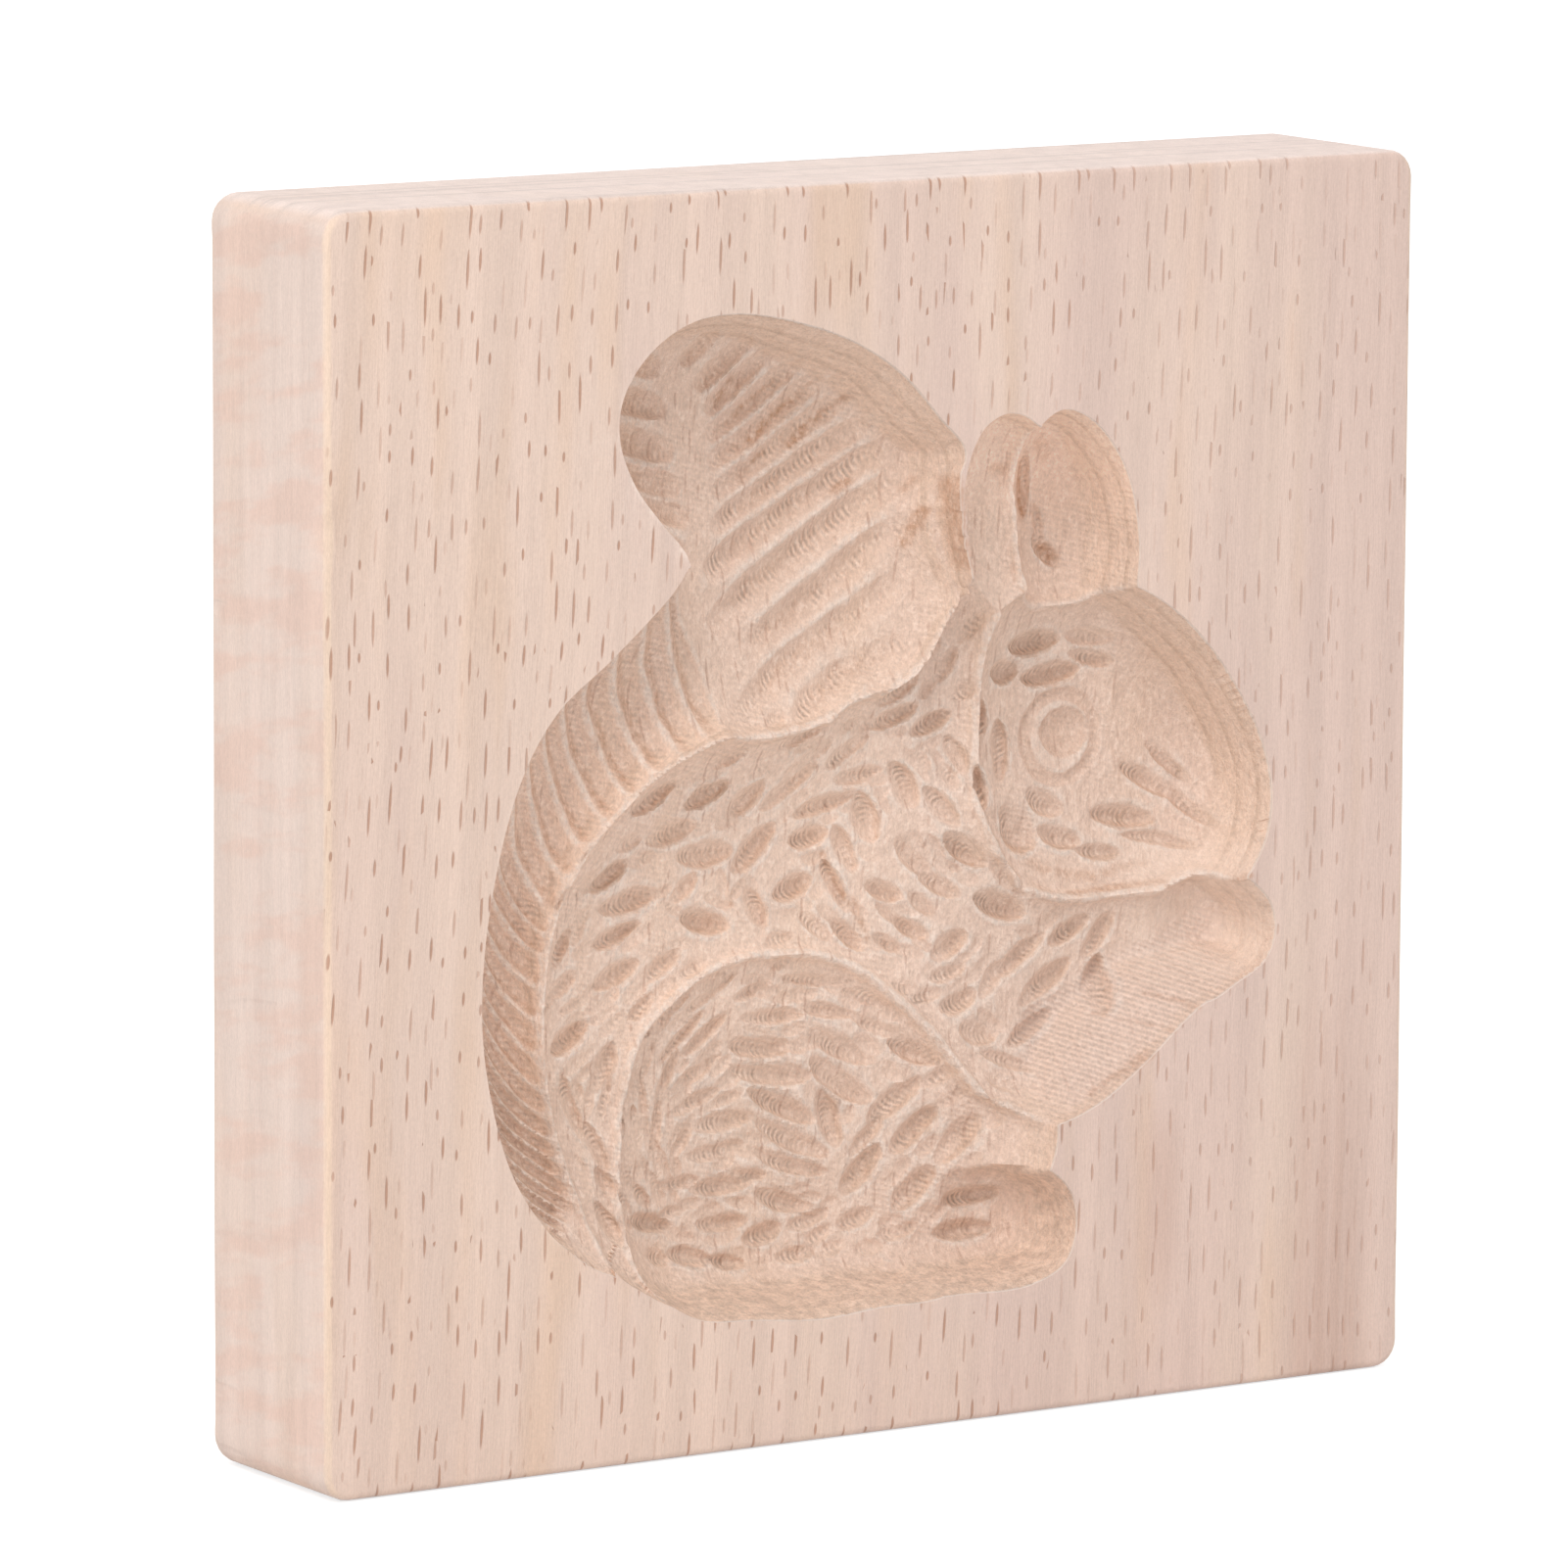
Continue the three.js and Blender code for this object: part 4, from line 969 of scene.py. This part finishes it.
def add_node(tree, kind, inputs=(), **settings):
    """A new node. Its inputs are given by number or name, as plain values or as other outputs."""
    node = tree.nodes.new(kind)
    for setting, value in settings.items():
        setattr(node, setting, value)
    for socket, value in dict(inputs).items():
        if isinstance(value, Output):
            tree.links.new(value.socket, node.inputs[socket])
        else:
            node.inputs[socket].default_value = value
    return node


class Output:
    """An output of a node. Calculating with it adds nodes to the same tree."""

    def __init__(self, node, output=0):
        self.tree = node.id_data
        self.socket = node.outputs[output]

    def new(self, kind, inputs, output=0, **settings):
        return Output(add_node(self.tree, kind, inputs, **settings), output)

    def math(self, operation, other=0):
        return self.new("ShaderNodeMath", {0: self, 1: other}, operation=operation)

    def __add__(self, other):
        return self.math("ADD", other)

    def __mul__(self, other):
        return self.math("MULTIPLY", other)

    def __sub__(self, number):
        return self + -number

    def __rsub__(self, number):
        return self.new("ShaderNodeMath", {0: number, 1: self}, operation="SUBTRACT")

    def __abs__(self):
        return self.math("ABSOLUTE")

    def split(self, kind="ShaderNodeSeparateXYZ"):
        node = add_node(self.tree, kind, {0: self})
        return [Output(node, i) for i in range(3)]

    def between(self, low, high, to_low=0, to_high=1):
        """The value taken smoothly from one range to another."""
        inputs = {"Value": self, 1: low, 2: high, 3: to_low, 4: to_high}
        return self.new("ShaderNodeMapRange", inputs, interpolation_type="SMOOTHSTEP")


def vector(x, y, z):
    return x.new("ShaderNodeCombineXYZ", {0: x, 1: y, 2: z})


def noise(x, y, z, detail=2, roughness=0.5):
    """Smooth noise from 0 to 1, mostly about the middle, with lumps about one unit long."""
    inputs = {"Vector": vector(x, y, z), "Scale": 1, "Detail": detail, "Roughness": roughness}
    return x.new("ShaderNodeTexNoise", inputs, "Fac")


def ripple(value, spacing):
    """Waves from -1 to 1 this far apart."""
    return (value * (2 * math.pi / spacing)).math("SINE")


def mix(share, first, second):
    return share.new("ShaderNodeMix", {0: share, 6: first, 7: second}, 2, data_type="RGBA")


def tint(colour, factor):
    """A colour made lighter or darker by a number."""
    return colour.new("ShaderNodeVectorMath", {0: colour, "Scale": factor}, operation="SCALE")


def flecks(x, y, z, cell, half_width, half_heights):
    """Spindle-shaped ends of the wood's rays, which run from front to back. Returns a mask."""
    wide, deep, tall = cell
    place = vector(x * (1 / wide), y * (1 / deep), z * (1 / tall))
    points = add_node(x.tree, "ShaderNodeTexVoronoi",
                      {"Vector": place, "Scale": 1, "Randomness": 1})
    middle = Output(points, "Position")
    away = x.new("ShaderNodeVectorMath", {0: place, 1: middle}, operation="SUBTRACT").split()
    size, _, strength = Output(points, "Color").split("ShaderNodeSeparateColor")
    across = away[0] * (wide / half_width)
    up = (away[2] * tall).math("DIVIDE", size.between(0.05, 1, *half_heights))
    mask = (across * across + up * up).between(1.25, 0.35)
    return mask * strength.between(0, 0.8, 0.25, 1)


def beech():
    """Plain beech outside and browner wood in the hollow. Places are in millimetres."""
    material = bpy.data.materials.new("beech")
    tree = empty_tree(material)
    local = Output(add_node(tree, "ShaderNodeTexCoord"), "Object")
    x, y, z = tint(local, 1 / MM).split()
    normal = Output(add_node(tree, "ShaderNodeNewGeometry"), "Normal")
    to_side, to_front, to_end = (abs(part) for part in normal.split())
    hollow, below, stain, stroke = (
        Output(add_node(tree, "ShaderNodeAttribute", attribute_name=name), "Fac")
        for name in ("hollow", "below", "stain", "stroke"))
    deep = y - FACE_Y
    carved = hollow * deep.between(0.02, 0.3)
    outside = 1 - carved

    # The trunk's axis leans a little, and its lines wander
    wander = noise(x * 0.02, y * 0.02, z * 0.03)
    lean = (z - 59) * (x * 0.0003 - 0.035)
    grain_x = x + lean + wander * 2
    grain_z = z + y * 0.11

    # Broad clouds of colour along the grain, and warmer ones
    cloud = noise(grain_x * 0.075, y * 0.1, z * 0.013, 3, 0.55) + x * 0.0022
    warm = noise(grain_x * 0.16, y * 0.1, z * 0.021 + 7) + x * -0.0012

    # A darker streak low down on the right, and a short warm one left of it
    streak = abs(grain_x - 53.5).between(6.5, 2) * z.between(52, 8)
    fine_streak = noise(grain_x * 0.9, 0, z * 0.02)
    streak = streak * fine_streak.between(0.3, 0.65, 0.4, 0.75)
    spot = abs(grain_x - 33.8).between(3.4, 0.4) * abs(z - 19).between(12, 3, 0, 0.5)

    # Growth rings lie almost parallel to the carved face: lines on the ends, faint bands on the
    # sides, and lines that follow the depth round the hollow's walls
    ring_place = y + x * 0.018 + wander * 1.2
    band = noise(ring_place * 0.9, x * 0.01, z * 0.003, 3, 0.65).between(0.52, 0.66)
    side_face = to_side.between(0.6, 0.95) * outside
    end_face = to_end.between(0.6, 0.95) * outside
    wall = to_front.between(0.88, 0.35)
    phase = (ring_place * 0.43 + 0.35).math("FRACT")
    line = phase.between(0.6, 0.92) * phase.between(0.99, 0.96)
    line = line * wall * (carved * z.between(34, 48))

    # Ray ends: brown spindles on the face, soft bands on the sides
    small = flecks(grain_x + 0.7, y, grain_z + 40, *SMALL_FLECKS)
    fleck = flecks(grain_x, y, grain_z, *LARGE_FLECKS).math("MAXIMUM", small * 0.12)
    shown = to_front.between(0.3, 0.85, 0, 0.85) * carved.between(0, 1, 1, 0.5)
    shown = shown * x.between(5, 40, 1, 0.55)
    ray = noise(x * 0.1, y * 0.06, z * 0.24 + y * 0.04, 3, 0.6)

    # Painted shade at the cuts' bottoms, reddish stains where fibres tore, and painted highlights
    blotch = noise(x * 0.5, y * 0.5, z * 0.35, 3, 0.6)
    ragged = noise(x * 1.6, y * 1.6, z * 1.2, 4, 0.7)
    fuzz = noise(x * 2.2, y * 2.2, z * 1.5, 4, 0.75)
    # The bottoms' darkening: partly the darker wood that a cut bares, partly painted shade
    bottom = below.between(0.03, 0.5) * blotch.between(0.3, 0.7, 0.06, 0.25)
    # Reddish fibre stains, with painted shade in the grooves, the scoops and the eye
    torn_stain_and_shade = stain * ragged.between(0.3, 0.62, 0.15, 0.85)
    # Painted highlight where the wood stands up above its surroundings
    raised_highlight = below.between(-0.03, -0.3, 0, 0.85) * ragged.between(0.34, 0.6, 0.15, 1)
    # Painted highlight in a thin band just inside the rim
    rim = deep.between(0, 0.04) * deep.between(0.34, 0.2) * hollow
    # Pale torn fibres, partly painted highlight, most on the floors that face the front
    pale_fibres_and_highlight = fuzz.between(0.52, 0.66, 0, 0.4) * carved * wall.between(0, 1, 1, 0.25)

    # Places, by ranges of x and height: forearm, ears, paw, and the back with the lower tail
    forearm = abs(x - 31).between(13, 8) * abs(z + x * -0.4 - 24).between(6.5, 3.5)
    ears = x.between(10, 13) * z.between(82, 90)
    paw = x.between(30, 35) * abs(z - 46).between(8, 4)
    back = x.between(14, 4) * abs(z - 53).between(21, 11)

    # Colours laid one over another, each with its share
    colour = mix(cloud.between(0.36, 0.68), CREAM, PINK)
    layers = [
        (warm.between(0.52, 0.75, 0, 0.5), ORANGE),
        (streak * outside, GREY_BROWN),
        (spot * outside, GREY_BROWN),
        (side_face * (band * 0.22), RAY_BAND),
        # End grain, made paler as painted light on the top face, and its growth lines
        (end_face * 0.75, END_GRAIN_WITH_PAINTED_LIGHT),
        (end_face * (band * 0.55), END_LINES),
        (side_face * 0.5, SIDE_TINT),
        (ray.between(0.46, 0.62, 0, 0.5) * side_face, RAY_BAND),
        ((to_side * to_front).between(0.12, 0.42, 0, 0.45) * outside, ARRIS),
        # Painted light lifts the hollow's floor and walls against their shade, over warmer cut wood
        (carved * 0.6, CARVED_FLOOR_WITH_PAINTED_LIGHT),
        (carved * wall * 0.6, CARVED_WALL_WITH_PAINTED_LIGHT),
        (line * 0.24, GROOVE_BROWN_AND_SHADE),
        # Painted shade in the cuts, reddish stains with painted shade, and painted highlights
        (bottom, GROOVE_BROWN_AND_SHADE),
        (torn_stain_and_shade, REDDISH_STAIN_AND_SHADE),
        (raised_highlight, HIGHLIGHT_AND_PALE_FIBRE),
        (rim * 0.6, HIGHLIGHT_AND_PALE_FIBRE),
        (fleck * shown, FLECK),
        # Pale torn fibres, partly painted highlight
        (pale_fibres_and_highlight, HIGHLIGHT_AND_PALE_FIBRE),
        (forearm * carved * 0.35, PINK),
    ]
    for share, laid in layers:
        colour = mix(share, colour, laid)

    # Fine rows that the cutter left in the hollow, steeper on the forearm, and rows across the
    # path of each cut
    bend = wander * 1.5 + ragged * 0.5
    patch = noise(x * 0.13, y * 0.13, z * 0.13 + 3)
    rows = ripple(z + x * 0.26 + bend, ROW_SPACING) * carved * patch.between(0.44, 0.62, 0, 0.5)
    rows = rows * x.between(26, 36, 1, 0.4) * ragged.between(0.36, 0.6, 0.4, 1.3)
    steep_rows = ripple(z + x * 0.38 + bend, FOREARM_ROW_SPACING) * carved
    rows = rows + steep_rows * (forearm * 1.2)
    hatch = below.between(0.03, 0.22) * blotch.between(0.4, 0.62)
    hatch = ripple(stroke + bend, STROKE_ROW_SPACING) * hatch
    hatch = hatch * stroke.between(1.5, -1.5, 0.5, 1.5)

    # Lighter and darker: fibres and veins, the rows with painted light and shade, and mottled walls
    fibre = noise(grain_x * 7, y * 7, z * 0.35, 3, 0.6)
    speck = noise(x * 5, y * 5, z * 2.4, 2, 0.7)
    vein = noise(grain_x * 0.5, y * 0.4, z * 0.012 + 5, 3, 0.6)
    mottle = noise(x * 0.9, y * 0.9, z * 0.9 + 9, 4, 0.65)
    shade = fibre.between(0.25, 0.75, 0.945, 1.04) + speck.between(0.3, 0.7, -0.04, 0.04)
    shade = shade + outside * vein.between(0.3, 0.7, -0.045, 0.045)
    # Rows and hatch: painted highlight and shade of the cutter's ripples, and pale fibres in them
    shade = shade + (rows * 0.08 + hatch * 0.16)
    low_wall = wall * carved * z.between(40, 15, 0.3, 1)
    shade = shade + low_wall * mottle.between(0.35, 0.65, -0.2, 0.02)
    shade = shade + carved * fuzz.between(0.3, 0.7, -0.11, 0.085)
    colour = tint(colour, shade)

    # Painted light: the ears, the paw and the back are lightened against the shade of their depth
    painted_lift = ears * 0.16 + (paw * 0.02 + back * 0.07)
    colour = mix(paw * carved * 0.3, colour, HIGHLIGHT_AND_PALE_FIBRE)
    colour = tint(colour, painted_lift * carved + 1)

    torn = noise(x * 0.7, y * 0.7, z * 0.5, 5, 0.7)
    height = fibre * 0.10 + fleck * outside * -0.12 + (rows * 0.08 + hatch * 0.14)
    height = height + fuzz * carved * 0.6 + torn * carved
    bump = height.new("ShaderNodeBump", {"Height": height, "Strength": 0.6, "Distance": MM})
    shader = bump.new("ShaderNodeBsdfPrincipled", {
        "Base Color": colour, "Roughness": fibre.between(0.2, 0.8, 0.56, 0.72),
        "Normal": bump, "Specular IOR Level": 0.3})
    add_node(tree, "ShaderNodeOutputMaterial", {"Surface": shader})
    return material


def empty_tree(owner):
    """The node tree of a new material or world, with nothing in it yet."""
    owner.use_nodes = True
    owner.node_tree.nodes.clear()
    return owner.node_tree


def grey(level):
    return (level, level, level, 1)


def linked(name, data):
    """A new object with this data, in the scene."""
    made = bpy.data.objects.new(name, data)
    bpy.context.scene.collection.objects.link(made)
    return made


def floor_material():
    """A white floor that keeps the object's shadow."""
    material = bpy.data.materials.new("floor")
    tree = empty_tree(material)
    seen = Output(add_node(tree, "ShaderNodeLightPath"), "Is Camera Ray")
    plain = seen.new("ShaderNodeBsdfDiffuse", {"Color": grey(0.84)})
    shaded = seen.new("ShaderNodeBsdfDiffuse", {"Color": grey(0.5)})
    light = seen.new("ShaderNodeEmission", {"Color": grey(1), "Strength": 0.72})
    backdrop = seen.new("ShaderNodeAddShader", {0: shaded, 1: light})
    mixed = seen.new("ShaderNodeMixShader", {0: seen, 1: plain, 2: backdrop})
    add_node(tree, "ShaderNodeOutputMaterial", {"Surface": mixed})
    return material


def add_floor():
    mesh = bpy.data.meshes.new("floor")
    corners = ((-1, -1), (1, -1), (1, 1), (-1, 1))
    places = [(x * FLOOR_REACH, y * FLOOR_REACH, 0) for x, y in corners]
    mesh.from_pydata(places, [], [(0, 1, 2, 3)])
    mesh.materials.append(floor_material())
    floor = linked("floor", mesh)
    floor.location.z = -FLOOR_GAP


def add_light():
    world = bpy.data.worlds.new("studio")
    bpy.context.scene.world = world
    tree = empty_tree(world)
    seen = Output(add_node(tree, "ShaderNodeLightPath"), "Is Camera Ray")
    soft = seen.new("ShaderNodeBackground", {"Color": grey(1), "Strength": WORLD_STRENGTH})
    white = seen.new("ShaderNodeBackground", {"Color": grey(1)})
    mixed = seen.new("ShaderNodeMixShader", {0: seen, 1: soft, 2: white})
    add_node(tree, "ShaderNodeOutputWorld", {"Surface": mixed})
    for name, place, size, watts in LAMPS:
        lamp = bpy.data.lights.new(name, "AREA")
        lamp.shape = "DISK"
        lamp.size = size
        lamp.energy = watts
        holder = linked(name, lamp)
        holder.location = place
        holder.rotation_euler = (LIT_PLACE - Vector(place)).to_track_quat("-Z", "Y").to_euler()


def add_camera():
    rows = sight_matrix()
    place = -(rows.transposed() @ BLOCK_IN_VIEW)
    place.y += FACE_Y
    data = bpy.data.cameras.new("camera")
    data.sensor_width = SENSOR_WIDTH
    data.lens = FOCAL_LENGTH
    data.clip_start, data.clip_end = 0.05, 100
    camera = linked("camera", data)
    turn = Matrix((rows[0], rows[1], -rows[2])).transposed()
    camera.matrix_world = Matrix.Translation(place * MM) @ turn.to_4x4()
    bpy.context.scene.camera = camera


block = carved_block()
block.data.materials.append(beech())
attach(block, "root")
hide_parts("mould_block")
add_floor()
add_light()
add_camera()
bpy.context.scene.view_settings.view_transform = "Standard"
